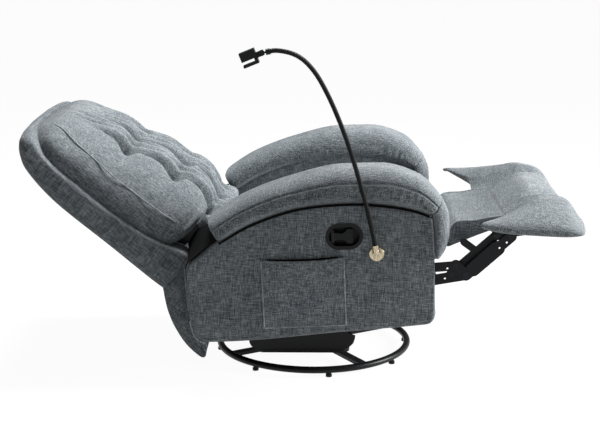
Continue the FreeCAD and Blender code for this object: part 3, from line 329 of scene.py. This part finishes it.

# %% [markdown]
# The rocker springs stand between the platform and the seat; on the chair they shorten and stretch as it
# rocks. Here each is a helix of four turns, made once in place from the foot of the spring up to its head.

# %% Rocker springs
corners = np.array(frame["nodes"]["rocker_springs"].bound_box)
low, high = corners[:, 2].min() / MM, corners[:, 2].max() / MM
WIRE_R, COIL_R, TURNS = 3.0, 22.0, 4
t = np.linspace(0, 1, 260)
angle = 2 * math.pi * TURNS * t
rise = low + WIRE_R + (high - low - 2 * WIRE_R) * t
for x, y, word in ((-150, -150, "rear_right"), (-150, 150, "rear_left"), (90, -150, "front_right"),
                   (90, 150, "front_left")):
    helix = np.stack([x + COIL_R * np.cos(angle), y + COIL_R * np.sin(angle), rise], -1)
    coil = bead(f"rocker_coil_{word}", helix, WIRE_R, spring_steel, sides=10)
    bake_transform(coil)
    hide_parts("rocker_springs")
print("four springs from z", round(low, 1), "to", round(high, 1))

# %% [markdown]
# An arm is a box of boards under foam and cloth. Seen from the side it is an outline: along x it has a
# bottom line and a top line. Each row of the skin goes round the arm at one x: down the outer face, under,
# up the inner face and over the top. The outer edges roll over with a 14 mm radius.

# %% Arm panels
ARM_IN, ARM_OUT, EDGE = 264.0, 416.0, 14.0
PANEL_TOP = [(-345, 300), (-343, 340), (-338, 366), (-312, 390), (-258, 435), (-166, 485), (-45, 526),
             (84, 541), (177, 538), (263, 525), (316, 508), (323, 470), (328, 392), (333, 245), (335, 232)]
PANEL_LOW = [(-345, 298), (-343, 250), (-338, 205), (-330, 172), (-316, 150), (-296, 142), (100, 175),
             (292, 193), (318, 197), (330, 210), (335, 230)]


def arm_panel(side):
    """Rows along x from the rear edge to the front, close together at both ends."""
    x = -345 + 680 * (1 - np.cos(np.linspace(0.004, math.pi - 0.004, 170))) / 2
    top = curve(x, *zip(*PANEL_TOP))[:, None]
    low = curve(x, *zip(*PANEL_LOW))[:, None]
    down = np.linspace(0, 1, 80)[None]
    z = top + (low - top) * down
    inset = np.minimum(np.minimum(top - z, z - low), np.minimum(x + 345, 335 - x)[:, None] * 1.5)
    roll = EDGE * (1 - np.sqrt(1 - (1 - np.clip(inset / EDGE, 0, 1)) ** 2))
    ease = np.clip(inset / 90, 0, 1)
    ripple = 1.2 * np.sin(x[:, None] / 41 + z / 63) * np.sin(z / 57 - x[:, None] / 97)
    y_out = -ARM_OUT + roll - ease * (2.0 + ripple)
    up = np.linspace(0, 1, 24)[None]
    z_in = low + (top - low) * up
    face = np.stack([np.broadcast_to(x[:, None], z.shape), y_out, z], -1)
    inner = np.stack([np.broadcast_to(x[:, None], z_in.shape), np.full(z_in.shape, -ARM_IN), z_in], -1)
    grid = np.concatenate([face, inner], 1)
    grid[..., 1] *= -side
    return grid


def in_lever_cup(middle):
    """Faces inside the lever's cup: within half its height of a line along the slot."""
    turn = math.radians(ROCKED_BACK)
    dx, dz = middle[:, 0] - 83, middle[:, 2] - 447
    a, b = dx * math.cos(turn) + dz * math.sin(turn), -dx * math.sin(turn) + dz * math.cos(turn)
    return (np.hypot(np.maximum(np.abs(a) - 15, 0), b) < 32.5) & (middle[:, 1] < -395)


for side, word in ((-1, "right"), (1, "left")):
    panel = skin(f"arm_cover_{word}", arm_panel(side), cloth_seat, drop=in_lever_cup if side < 0 else None)
    settle(panel, "seat_body", f"arm_panel_{word}", fill=0.3)

# %% [markdown]
# The arm pad is a long crowned roll laid over the arm, sewn to the panel by a tucked seam. A section across
# it is a rounded box: y follows a cosine and height a sine, both with small powers that square them up.
# Sections follow the base line and the ridge that were read off the picture.

# %% Arm pads and front caps
PAD_BASE = [(-256, 428), (-166, 480), (-45, 522), (84, 537), (177, 534), (263, 521), (318, 503)]
PAD_TOP = [(-292, 480), (-198, 541), (-70, 592), (76, 627), (184, 630), (288, 601), (352, 541)]
CAP_BASE = [(316, 506), (321, 482), (324, 450), (327, 412), (331, 386)]
CAP_TOP = [(350, 544), (369, 497), (371, 452), (361, 408), (343, 383)]


def roll(base, top, side, rows, overhang, stitch=None, around=110):
    """A crowned roll over the arm: share of the way from base to top is sin^0.7, y is cos^0.5. The lowest
    tenth is tucked in under the overhang, a row of stitching sinks the outer face, and the cloth wrinkles
    where the roll bends down to its front."""
    s = np.linspace(0, 1, rows)[:, None]
    knots = np.linspace(0, 1, len(base))
    low, high = curve(s[:, 0], knots, base), curve(s[:, 0], knots, top)
    angle = np.linspace(0, math.pi, around)[None]
    share = np.sin(angle) ** 0.7
    across = np.sign(np.cos(angle)) * np.abs(np.cos(angle)) ** 0.5
    half = (ARM_OUT - ARM_IN) / 2 + overhang
    tuck = 1 - 0.17 * np.exp(-(share / 0.13) ** 2)
    off = half * across * tuck * np.ones_like(s)
    if stitch is not None:
        off = off - 3.4 * np.exp(-((share - stitch) / 0.03) ** 2) * (across > 0)
        bend = np.exp(-((s - 0.82) / 0.10) ** 2) * np.exp(-((share - 0.35) / 0.25) ** 2)
        off = off + 0.7 * bend * np.sin(s * 150 + 2 * share) * np.sign(across)
    end = 1 - 0.10 * np.maximum(np.exp(-(s / 0.012)), np.exp(-((1 - s) / 0.012)))
    xz = low[:, None] + (high - low)[:, None] * (share * end)[..., None]
    y = ((ARM_IN + ARM_OUT) / 2 + off * end) * side
    return np.stack([xz[..., 0], y, xz[..., 1]], -1)


for side, word in ((-1, "right"), (1, "left")):
    pad = skin(f"arm_roll_{word}", roll(PAD_BASE, PAD_TOP, side, 220, 13.0, 0.62), cloth_seat)
    settle(pad, "seat_body", f"arm_pad_{word}", fill=0.7)
    # The black bead under the pad's overhang is painted shade: it darkens the seam groove where the shadow falls.
    tuck = outline([(x, (ARM_OUT + 1.5) * side, z - 3) for x, z in PAD_BASE], 140, closed=False)
    settle(bead(f"arm_pad_seam_painted_shade_{word}", tuck, 2.8, dust_cloth), "seat_body", slot="dust_cloth")
    cap = skin(f"arm_nose_{word}", roll(CAP_BASE, CAP_TOP, side, 80, 11.0), cloth_seat)
    settle(cap, "seat_body", f"arm_front_cap_{word}", fill=0.6)
    welt = outline([(x - 2, (ARM_OUT + 1) * side, z) for x, z in CAP_BASE], 60, closed=False)
    settle(bead(f"arm_nose_welt_{word}", welt, 3.0, piping_painted_highlight), "seat_body")
    corner = outline([(x - 1, (ARM_OUT - 5) * side, z) for x, z in PANEL_LOW[5:1:-1]], 60, closed=False)
    settle(bead(f"arm_corner_welt_{word}", corner, 2.6, piping_painted_highlight), "seat_body")

# %% [markdown]
# The back leans 40 degrees. Its pieces are drawn in a frame of their own: u runs up the back, n stands out
# of its front, and y goes across.

# %% Outside back and rear flap
SLOPE = math.radians(BACK_LEAN)
UP_BACK = np.array([-math.cos(SLOPE), 0, math.sin(SLOPE)])
OFF_BACK = np.array([math.sin(SLOPE), 0, math.cos(SLOPE)])
BACK_HALF = 334.0
BACK_ORIGIN = np.array([-386.0, 0, 390.0])


def on_back(u, n, y):
    """Points of the back: origin plus u up it, n off it and y across."""
    u, n, y = np.broadcast_arrays(u, n, y)
    return BACK_ORIGIN + u[..., None] * UP_BACK + n[..., None] * OFF_BACK + y[..., None] * [0, 1, 0]


def front_edge(u):
    """How far the shell's front edge stands forward: flat in the middle, a square's rise at foot and head."""
    return -36 + 34 * (np.maximum(0, 230 - u) / 230) ** 2 + 40 * (np.maximum(0, u - 400) / 105) ** 2


def outside_back():
    """Rows across the chair, each the side outline of the shell, shorter and thinner near the sides."""
    y = np.concatenate([[-334, -332, -327, -318], np.linspace(-305, 305, 60), [318, 327, 332, 334]])
    inset = np.concatenate([[9, 4, 1, 0], np.zeros(60), [0, 1, 4, 9]])
    depth = curve(np.abs(y), [0, 120, 264, 318, 334], [1, 1, 0.975, 0.93, 0.86])
    length = curve(np.abs(y), [0, 120, 264, 318, 334], [1, 1, 0.99, 0.975, 0.955])
    lip = curve(np.abs(y), [0, 120, 264, 334], [16, 9, 0, -18])
    rows = []
    for one, pull, d, l, top in zip(y, inset, depth, length, lip):
        back, head = -122 * d + pull, 530 * l - pull
        thick = top - back
        edge = [(u, front_edge(u) - pull) for u in (head - 46, 440, 390, 330, 230, 120, 40, -30)]
        points = [(-50 + pull, -20), (-50 + pull, back + 14), (-36, back), (140, back), (330, back),
                  (head - 74, back + 0.18 * thick), (head - 28, back + 0.42 * thick),
                  (head - 5, back + 0.68 * thick), (head, back + 0.84 * thick),
                  (head - 9, top - 4 - pull), (head - 24, top - pull), *edge]
        loop = outline(points, 170)
        rows.append(on_back(loop[:, 0], loop[:, 1], one))
    return np.array(rows)


shell = skin("outside_back_cover", outside_back(), cloth_back, rings=False)
settle(shell, "back", "back_shell", fill=0.3)


def flap():
    """Rows across the chair of the flap's side outline, a hanging strip that curls under."""
    loop = outline([(-424, 284), (-421, 258), (-418, 238), (-410, 202), (-392, 156), (-360, 104), (-318, 66),
                    (-306, 80), (-340, 112), (-376, 162), (-396, 206), (-404, 240), (-406, 262), (-411, 287)], 110)
    y = np.linspace(-312, 312, 80)
    wave = 1 + 0.25 * np.sin(y / 70) * np.sin(y / 31)
    grid = np.broadcast_to(np.insert(loop, 1, 0, axis=1), (80, 110, 3)).copy()
    grid[..., 1] = y[:, None]
    hang = np.clip((250 - grid[..., 2]) / 180, 0, 1)
    grid[..., 0] += 4 * hang * (wave[:, None] - 1)
    return grid


settle(skin("rear_flap_cover", flap(), cloth_back), "back", "rear_flap", fill=0.3)

# %% [markdown]
# The back cushion is two fat side bolsters with a tufted middle. Buttons pull the cloth in at crossing rows
# and columns, and the spare cloth folds into pleats that run up the back from button to button. A section
# across it is a superellipse, fat at the sides, less a hollow at each button that is steep below and drawn
# out above, less the pleats. Its lowest roll rests on the seat, so its shape curves from seat onto back.

# %% Back cushion
ROWS_U = (-20.0, 115.0, 267.0)
COLUMNS_Y = (-165.0, -55.0, 55.0, 165.0)
HOLLOW, FOLD, PLEAT = 56, 14, 12       # depths at a button, along its column and between columns
SEAM = [(-12, 60), (5, 62), (45, 56), (105, 50), (245, 44), (351, 46), (440, 46), (474, 38)]
CROWN = [(-84, 128), (-76, 150), (-60, 160), (-28, 158), (20, 170), (45, 176), (95, 182), (180, 162),
         (267, 145), (347, 122), (424, 94), (470, 68), (490, 46), (502, 22), (508, 0)]
UNDER = [(-84, 123), (-60, 103), (-40, 86), (-20, 69), (-12, 60), (2, 22), (16, -6)]
NARROW = [(-84, 90), (-14, 86), (-11, 80), (-6, 38), (4, 12), (20, 3), (45, 0), (380, 0), (430, 8), (460, 20),
          (480, 40), (494, 66), (502, 96), (508, 130)]


def back_measures(u):
    """Half width, underside and crown at u. Below u 16 the underside lifts off the shell, over the seat."""
    half = BACK_HALF - 4 - curve(u, *zip(*NARROW))
    under = np.where(u < 16, curve(u, *zip(*UNDER)), front_edge(u) + 0.5)
    return half, under, np.maximum(curve(u, *zip(*CROWN)), under + 2)


def dents(u, y):
    """How far buttons and pleats pull the front in: teardrops at each button, folds up each column."""
    deep = 7 - 7 * np.cos(2 * math.pi * (u - 190) / 152)
    deep = deep * np.exp(-((u - 190) / 190) ** 2)
    for column in COLUMNS_Y:
        dy = y - column
        deep = deep + FOLD * np.exp(-(np.abs(dy) / 12) ** 1.3) * np.exp(-((u - 130) / 230) ** 4)
        for row in ROWS_U:
            du = u - row
            reach = np.where(du > 0, 72, 13)
            taper = np.where(du > 0, 0.45 + 0.55 * np.exp(-(du / 34) ** 2), 1)
            spread = np.where(dy * column > 0, 34, 24) * taper
            deep = deep + HOLLOW * np.exp(-(du / reach) ** 2) * np.exp(-(np.abs(dy) / spread) ** 2)
    for middle in (-128, -92, -20, 18, 92, 126):
        wave = 0.25 + 0.75 * np.sin(math.pi * (u + 20 + 0.4 * middle) / 152) ** 2
        deep = deep + PLEAT * np.exp(-(np.abs(y - middle) / 9) ** 1.5) * wave
    return deep


def back_cushion():
    """Rows up the back, each a superellipse: (1 - |y/half|^2.4)^(1/2) of the crown, less the dents."""
    u = np.concatenate([np.linspace(-84, 6, 54), np.linspace(8, 440, 166), np.linspace(442, 508, 54)])
    u = u[:, None]
    half, under, crown = (m[:, None] for m in back_measures(u[:, 0]))
    v = np.sin(np.linspace(-math.pi / 2, math.pi / 2, 320))[None]
    lift = (1 - np.abs(v) ** 2.4) ** 0.5
    live = np.clip((crown - under - 20) / 60, 0, 1) * np.clip((500 - u) / 90, 0, 1)
    n = under + (crown - under) * lift - live * dents(u, half * v)
    y = half * v * (1 - 0.045 * np.exp(-((n - under) / 28) ** 2))
    behind = np.linspace(1, -1, 26)[None, 1:-1]
    n = np.concatenate([n, under * np.ones_like(behind)], 1)
    return on_back(u * np.ones_like(n), n, np.concatenate([y, 0.955 * half * behind], 1))


cushion = skin("back_cushion_tufted", back_cushion(), cloth_back)
on_back(-84.0, 57.0, 0.0) * MM
on_back(40.0, 57.0, 0.0) * MM
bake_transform(cushion)
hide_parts("back_cushion")
print(cushion.name, len(cushion.data.polygons), "faces between seat and back")

u = np.linspace(44, 474, 160)
half, under, crown = back_measures(u)
seam = curve(u, *zip(*SEAM))
seam_y = half * (1 - ((seam - under) / (crown - under)) ** 2) ** (1 / 2.4)
for side, word in ((-1, "right"), (1, "left")):
    settle(bead(f"back_boxing_seam_{word}", on_back(u, seam, seam_y * side), 1.6, piping_painted_highlight), "back")

# %% [markdown]
# The seat cushion is a crowned slab with a rolled front behind a sewn channel. It is flat underneath, where
# it rests on the webbing. A cloth simulation blows it up like a filled cover: faces are made even first, no
# point may move more than the cap, and the underside stays.

# %% Seat cushion
SEAT_ROWS = [(-316, 233, 396, 402), (-256, 243, 412, 424), (-100, 240, 414, 428), (90, 241, 415, 428),
             (200, 242, 412, 421), (212, 242, 405, 412), (226, 243, 414, 424), (268, 243, 419, 431),
             (318, 241, 406, 417), (333, 235, 388, 396), (338, 230, 372, 378)]


def seat_cushion():
    """Rows along the seat; each goes up the side, over a crown and down, then along the flat underside."""
    x = np.concatenate([np.linspace(-316, 190, 90), np.linspace(195, 338, 60)])
    half, shoulder, crown = curve(x, [r[0] for r in SEAT_ROWS], [r[1:] for r in SEAT_ROWS]).T[..., None]
    t = np.linspace(0, math.pi, 90)[None]
    across = np.sign(np.cos(t)) * np.abs(np.cos(t)) ** 0.42
    z = 346.5 + (shoulder - 346.5) * np.sin(t) ** 0.5 + (crown - shoulder) * np.sin(t) ** 3
    y = half * across * (1 + 0.02 * np.sin(2 * t) ** 2)
    return np.stack([np.broadcast_to(x[:, None], y.shape), y, z * np.ones_like(y)], -1)


def swell(piece, cap, voxel=6.0, pressure=4.0, frames=20):
    """Fill a cover: voxel remesh, cloth under pressure without gravity, each move cut to the cap (mm)."""
    even = piece.modifiers.new("even_faces", "REMESH")
    even.voxel_size = voxel * MM
    piece.data = bpy.data.meshes.new_from_object(piece.evaluated_get(bpy.context.evaluated_depsgraph_get()))
    piece.modifiers.clear()
    start = np.empty(3 * len(piece.data.vertices))
    piece.data.vertices.foreach_get("co", start)
    start = start.reshape(-1, 3)
    cloth = piece.modifiers.new("filled_cover", "CLOTH")
    cloth.settings.use_pressure = True
    cloth.settings.uniform_pressure_force = pressure
    cloth.settings.effector_weights.gravity = 0.0
    for number in range(1, frames + 1):
        scene.frame_set(number)
    filled = piece.evaluated_get(bpy.context.evaluated_depsgraph_get()).to_mesh()
    end = np.empty(start.size)
    filled.vertices.foreach_get("co", end)
    move = end.reshape(-1, 3) - start
    length = np.linalg.norm(move, axis=1)[:, None]
    move *= np.minimum(1, cap * MM / np.maximum(length, 1e-9))
    height = start[:, 2:] - start[:, 2].min()
    move *= np.clip(height / (40 * MM), 0, 1)       # the underside rests on the webbing
    piece.modifiers.clear()
    scene.frame_set(1)
    piece.data.vertices.foreach_set("co", (start + move).ravel())
    piece.data.polygons.foreach_set("use_smooth", np.ones(len(piece.data.polygons), bool))
    piece.data.update()
    piece.modifiers.new("smooth_cover", "SUBSURF").levels = 1
    print(piece.name, "filled, largest move", round(float(np.linalg.norm(move, axis=1).max()) / MM, 1), "mm")


seat = skin("seat_cushion_crowned", seat_cushion(), cloth_seat)
swell(seat, 12.0)
settle(seat, "seat_body", "seat_cushion", fill=0.8)

# %% [markdown]
# The footrest pad has two wings as wide as the arms, because it covers their fronts when it is shut. The
# chaise pad bridges the seat and the footrest. Both are rows across the chair, each a side outline.

# %% Footrest pad and chaise pad
FOOT_ROWS = [(0, 553, 752, 508, 464, 419, 553), (60, 552, 752, 510, 464, 419, 552),
             (120, 551, 749, 507, 463, 419, 551), (174, 552, 752, 513, 462, 419, 548),
             (206, 568, 754, 522, 466, 418, 503), (236, 555, 754, 527, 468, 418, 498),
             (264, 537, 753, 524, 470, 422, 497), (290, 517, 752, 516, 472, 434, 500),
             (340, 480, 747, 501, 478, 437, 480), (370, 459, 741, 489, 481, 438, 466),
             (390, 446, 734, 478, 482, 441, 458), (400, 441, 726, 468, 480, 445, 456),
             (404, 446, 716, 459, 475, 449, 460)]
FOOT_FOLDS = (((540, -185), (760, -5), 23, 18), ((540, 185), (750, 215), 20, 18))     # from, to, depth, width


def foot_line(y):
    """Tail, nose, crown, tail height, underside and lower tail at each y; the left wing is drawn longer."""
    values = curve(np.abs(y), [r[0] for r in FOOT_ROWS], [r[1:] for r in FOOT_ROWS]).T
    values[0] -= 14 * np.clip((np.abs(y) - 200) / 200, 0, 1) * np.sign(y)
    return values


def footrest_pad():
    """Rows across the chair, each a side outline; two folds where the stuffed lobes meet sink the top."""
    y = np.concatenate([[-404, -402, -399], np.linspace(-395, 395, 190), [399, 402, 404]])
    rows = []
    for one, t, n, c, tz, b, tl in zip(y, *foot_line(y)):
        ridge, rise = t + 0.42 * (n - t), c - b
        lift = 12 * max(0.0, abs(one) - 300) / 100
        points = [(tl + 6, b + 10 + lift), (t - 1, tz - 7), (t + 6, tz),
                  (t + 0.5 * (ridge - t), (tz + c) / 2 + 0.07 * rise), (ridge, c),
                  (ridge + 0.35 * (n - ridge), c - 0.03 * rise), (ridge + 0.68 * (n - ridge), c - 0.18 * rise),
                  (n - 9, b + 0.45 * rise), (n, b + 0.22 * rise), (n - 10, b + 2), (n - 60, b - 1),
                  (tl + 70, b + 8)]
        rows.append(np.insert(outline(points, 140), 1, one, axis=1))
    grid = np.array(rows)
    crown, base = foot_line(y)[2][:, None], foot_line(y)[4][:, None]
    top = np.clip((grid[..., 2] - base) / (crown - base), 0, 1) ** 2
    for (x0, y0), (x1, y1), deep, wide in FOOT_FOLDS:
        along = np.clip((grid[..., 0] - x0) / (x1 - x0), 0, 1)
        off = grid[..., 1] - (y0 + (y1 - y0) * along)
        grid[..., 2] -= deep * top * np.exp(-(np.abs(off) / wide) ** 1.3) * (grid[..., 0] > x0 - 20)
    return grid


winged = skin("footrest_pad_winged", footrest_pad(), cloth_foot, rings=False)
settle(winged, "footrest", "footrest_pad", fill=0.75)

CHAISE_SIDE = [(384, 364), (404, 371), (476, 400), (544, 429), (549, 441), (545, 455), (520, 452), (495, 448),
               (461, 442), (424, 440), (405, 435), (392, 420), (380, 398), (376, 378)]


def chaise_pad():
    """The side outline carried across; near each side it shrinks along a quarter circle of 8 mm."""
    turn = np.linspace(0, math.pi / 2, 7)
    near_side = 200 - 8 * (1 - np.sin(turn))
    y = np.sort(np.concatenate([-near_side, np.linspace(-190, 190, 60), near_side]))
    pull = 8 - np.sqrt(np.clip(64 - np.clip(np.abs(y) - 192, 0, 8) ** 2, 0, 64))
    loop = outline(CHAISE_SIDE, 140)
    middle = np.array([455.0, 408.0])
    way = (loop - middle) / np.linalg.norm(loop - middle, axis=1)[:, None]
    flat = loop[None] - pull[:, None, None] * way[None]
    return np.stack([flat[..., 0], np.broadcast_to(y[:, None], flat.shape[:2]), flat[..., 1]], -1)


settle(skin("chaise_pad_soft", chaise_pad(), cloth_foot), "chaise", "chaise_pad", fill=0.6)
for side, word in ((-1, "right"), (1, "left")):
    edge = outline([(x, 196 * side, z) for x, z in CHAISE_SIDE[5:12]], 70, closed=False)
    settle(bead(f"chaise_welt_{word}", edge, 3.0, piping_painted_highlight), "chaise")

# %% [markdown]
# The pocket is a patch of the same cloth sewn on three sides. Its mouth stands a little open, so the sheet
# is a bulge that grows towards the top, and its hem is turned over.

# %% Side pocket
POCKET_X, POCKET_Z, POCKET_W, POCKET_H = -26.0, 289.0, 224.0, 190.0


def pocket_sheet():
    """Grid over width and height: the stand-off is a sine across times a rise to the mouth."""
    a, b = np.meshgrid(np.linspace(-1, 1, 90), np.linspace(0, 1, 80), indexing="ij")
    stand = 4 + 11 * np.sin(math.pi * (a + 1) / 2) ** 0.6 * b ** 1.5 - 1.5 * np.sin(3 * a + 2 * b) * b
    dip = 5 * np.sin(math.pi * (a + 1) / 2) * b ** 3
    x, z = a * POCKET_W / 2, (b - 0.5) * POCKET_H - dip
    turn = math.radians(ROCKED_BACK)
    return np.stack([POCKET_X + x * math.cos(turn) - z * math.sin(turn), -418 - stand,
                     POCKET_Z + x * math.sin(turn) + z * math.cos(turn)], -1)


pocket = skin("pocket_patch", pocket_sheet(), cloth_seat, closed=False, capped=False)
settle(pocket, "seat_body", "side_pocket")
thick = pocket.modifiers.new("cloth", "SOLIDIFY")
thick.thickness = 0.0022
thick.offset = 0.0

edge = pocket_sheet()
border = np.concatenate([edge[0, ::-1], edge[1:, 0], edge[-1, 1:]])
settle(bead("pocket_welt", border - [0, 1, 0], 1.8, piping_painted_highlight), "seat_body")
settle(bead("pocket_hem", edge[:, -1] + [0, 0.5, 0], 2.6, cloth_seat), "seat_body")
# The black strip across the pocket's mouth is painted shade: a dark sheet standing in for the shadow inside the
# slit under the hem.
mouth = np.stack([edge[6:-6, -1] * [1, 0, 1] + [0, -418.4, up] for up in (-5.5, 4.7)])
black_sheet = skin("pocket_slit_painted_shade", mouth, dust_cloth, closed=False, capped=False)
settle(black_sheet, "seat_body", slot="dust_cloth")

# %% [markdown]
# The neck is a stiff bendable arm in a ribbed rubber sleeve. Its line is a chain of parabolas, each tangent
# to the route at the middle of two runs. The ribs are a sine on the radius, 4 mm apart so that they show.

# %% Phone neck
NECK_ROUTE = [(170, 407), (160, 456), (148, 509), (132, 569), (113, 635), (92, 701), (67, 767), (38, 833),
              (3, 896), (-40, 938), (-95, 951), (-124, 945)]


def neck_line():
    """Quadratic pieces between the middles of the route's runs, with the route's points as handles."""
    p = np.array([(x, -441.0, z) for x, z in NECK_ROUTE])
    middle = (p[:-1] + p[1:]) / 2
    start, end = np.vstack([p[:1], middle[1:]]), np.vstack([middle[1:], p[-1:]])
    handle = np.vstack([p[1:-1], middle[-1:]])
    t = np.linspace(0, 1, 40, endpoint=False)[None, :, None]
    line = (1 - t) ** 2 * start[:, None] + 2 * t * (1 - t) * handle[:, None] + t * t * end[:, None]
    return np.vstack([line.reshape(-1, 3), p[-1:]])


line = neck_line()
run = np.concatenate([[0], np.cumsum(np.linalg.norm(np.diff(line, axis=0), axis=1))])
at = np.linspace(0, run[-1], 1100)
line = np.stack([np.interp(at, run, line[:, k]) for k in range(3)], -1)
neck = bead("phone_neck_ribbed", line, 6.3 + 0.5 * np.sin(2 * math.pi * at / 4.0), neck_sleeve, sides=16)
settle(neck, "phone_arm", "phone_neck", slot="neck_sleeve")

# %% [markdown]
# The sloping rear face of each arm is hidden when the chair is upright, so the maker covers it with cheap
# black cloth. It is a thin sheet laid over the slope.

# %% Black cloth behind the arms


def slope_cloth(side):
    """Grid over the slope's length and the arm's width, 37 mm high at the inner edge to hide the hinge."""
    a, b = np.meshgrid(np.linspace(0, 1, 50), np.linspace(0, 1, 50), indexing="ij")
    line = outline([(-346, 352), (-341, 367), (-314, 391), (-286, 415), (-258, 438), (-244, 446)], 50,
                   closed=False)
    lift = 3 + 34 * b ** 1.5 * np.sin(math.pi * a) ** 0.8
    x = line[:, 0][:, None] - 0.65 * lift
    z = line[:, 1][:, None] + 0.76 * lift
    y = -ARM_OUT + 3 + (ARM_OUT - ARM_IN - 6) * b
    return np.stack([x, -side * y, z], -1)


for side, word in ((-1, "right"), (1, "left")):
    black_sheet = skin(f"arm_slope_lining_{word}", slope_cloth(side), dust_cloth, closed=False, capped=False)
    settle(black_sheet, "seat_body", slot="dust_cloth")
    solid = black_sheet.modifiers.new("cloth", "SOLIDIFY")
    solid.thickness = 0.0015
    solid.offset = 0.0

# %% [markdown]
# A cloth gusset closes each side of the flap, from the flap to just behind the arm, so that no frame shows.
# It is a ruled sheet between two lines, a little slack.

# %% Rear gussets
GUSSET_REAR = [(-424, 300), (-418, 262), (-404, 206), (-382, 160), (-350, 112), (-320, 76)]
GUSSET_FRONT = [(-364, 352), (-359, 300), (-356, 250), (-351, 205), (-342, 172), (-320, 128)]


def gusset(side):
    """Straight lines from the rear line to the front line, bulging 5 mm outwards along a sine."""
    rear, front = (outline(line, 50, closed=False)[:, None] for line in (GUSSET_REAR, GUSSET_FRONT))
    t = np.linspace(0, 1, 24)[None, :, None]
    flat = rear + (front - rear) * t
    y = (310 + 5 * np.sin(math.pi * t[..., 0])) * side * np.ones((50, 1))
    return np.stack([flat[..., 0], y, flat[..., 1]], -1)


for side, word in ((-1, "right"), (1, "left")):
    web = skin(f"rear_gusset_{word}", gusset(side), cloth_back, closed=False, capped=False)
    settle(web, "back")
    solid = web.modifiers.new("cloth", "SOLIDIFY")
    solid.thickness = 0.0020
    solid.offset = 0.0
    settle(bead(f"rear_gusset_welt_{word}", gusset(side)[:, -1], 3.4, piping_painted_highlight), "back")

# %% [markdown]
# The studio: a wide white floor that keeps a faint shadow, a white surround for the eye and for reflections,
# a large soft light overhead and a second one beyond the footrest.

# %% Floor, surround and lights


def either(tree, first, second):
    """1 where either of two 0 or 1 values is 1."""
    return add(tree, "Math", {0: first, 1: second}, operation="MAXIMUM").outputs[0]


REACH = 30000              # mm from the middle of the floor to its edge
corners = np.array([[(-REACH, -REACH, 0), (REACH, -REACH, 0)], [(-REACH, REACH, 0), (REACH, REACH, 0)]])
floor = skin("studio_floor", corners, bpy.data.materials.new("matt_white_floor"), closed=False, capped=False)
floor.data.materials[0].use_nodes = True
tree = floor.data.materials[0].node_tree
shader = tree.nodes["Principled BSDF"]
shader.inputs["Base Color"].default_value = colour("#C4C4C4")
shader.inputs["Roughness"].default_value = 0.9
path = add(tree, "LightPath")
seen = either(tree, path.outputs["Is Camera Ray"], path.outputs["Is Glossy Ray"])
seen = either(tree, seen, path.outputs["Is Transmission Ray"])
share = add(tree, "Math", {0: seen, 1: 0.85}, operation="MULTIPLY").outputs[0]
glow = add(tree, "Emission", {"Color": (1, 1, 1, 1), "Strength": 1.12}).outputs[0]
both = add(tree, "MixShader", {"Fac": share, 1: shader.outputs[0], 2: glow})
tree.links.new(both.outputs[0], tree.nodes["Material Output"].inputs["Surface"])

world = bpy.data.worlds.new("white_surround")
scene.world = world
world.use_nodes = True
tree = world.node_tree
path = add(tree, "LightPath")
seen = either(tree, path.outputs["Is Camera Ray"], path.outputs["Is Transmission Ray"])
level = add(tree, "MapRange", {"Value": seen, "To Min": 0.20, "To Max": 1.0}).outputs["Result"]
tree.links.new(level, tree.nodes["Background"].inputs["Strength"])
tree.nodes["Background"].inputs["Color"].default_value = (1, 1, 1, 1)


def softbox(name, place, aim, size, power):
    """A square area light at a place (m), turned to face its aim."""
    lamp = bpy.data.lights.new(name, "AREA")
    lamp.size = size
    lamp.energy = power
    made = bpy.data.objects.new(name, lamp)
    scene.collection.objects.link(made)
    made.location = place
    made.rotation_mode = "QUATERNION"
    made.rotation_quaternion = (Vector(place) - Vector(aim)).to_track_quat("Z", "Y")
    return made


softbox("overhead_softbox", (-0.1, 0.35, 3.0), (0.0, 0.0, 0.4), 1.0, 116)
softbox("front_fill", (3.4, -0.2, 1.2), (0.3, 0.0, 0.45), 1.4, 220)
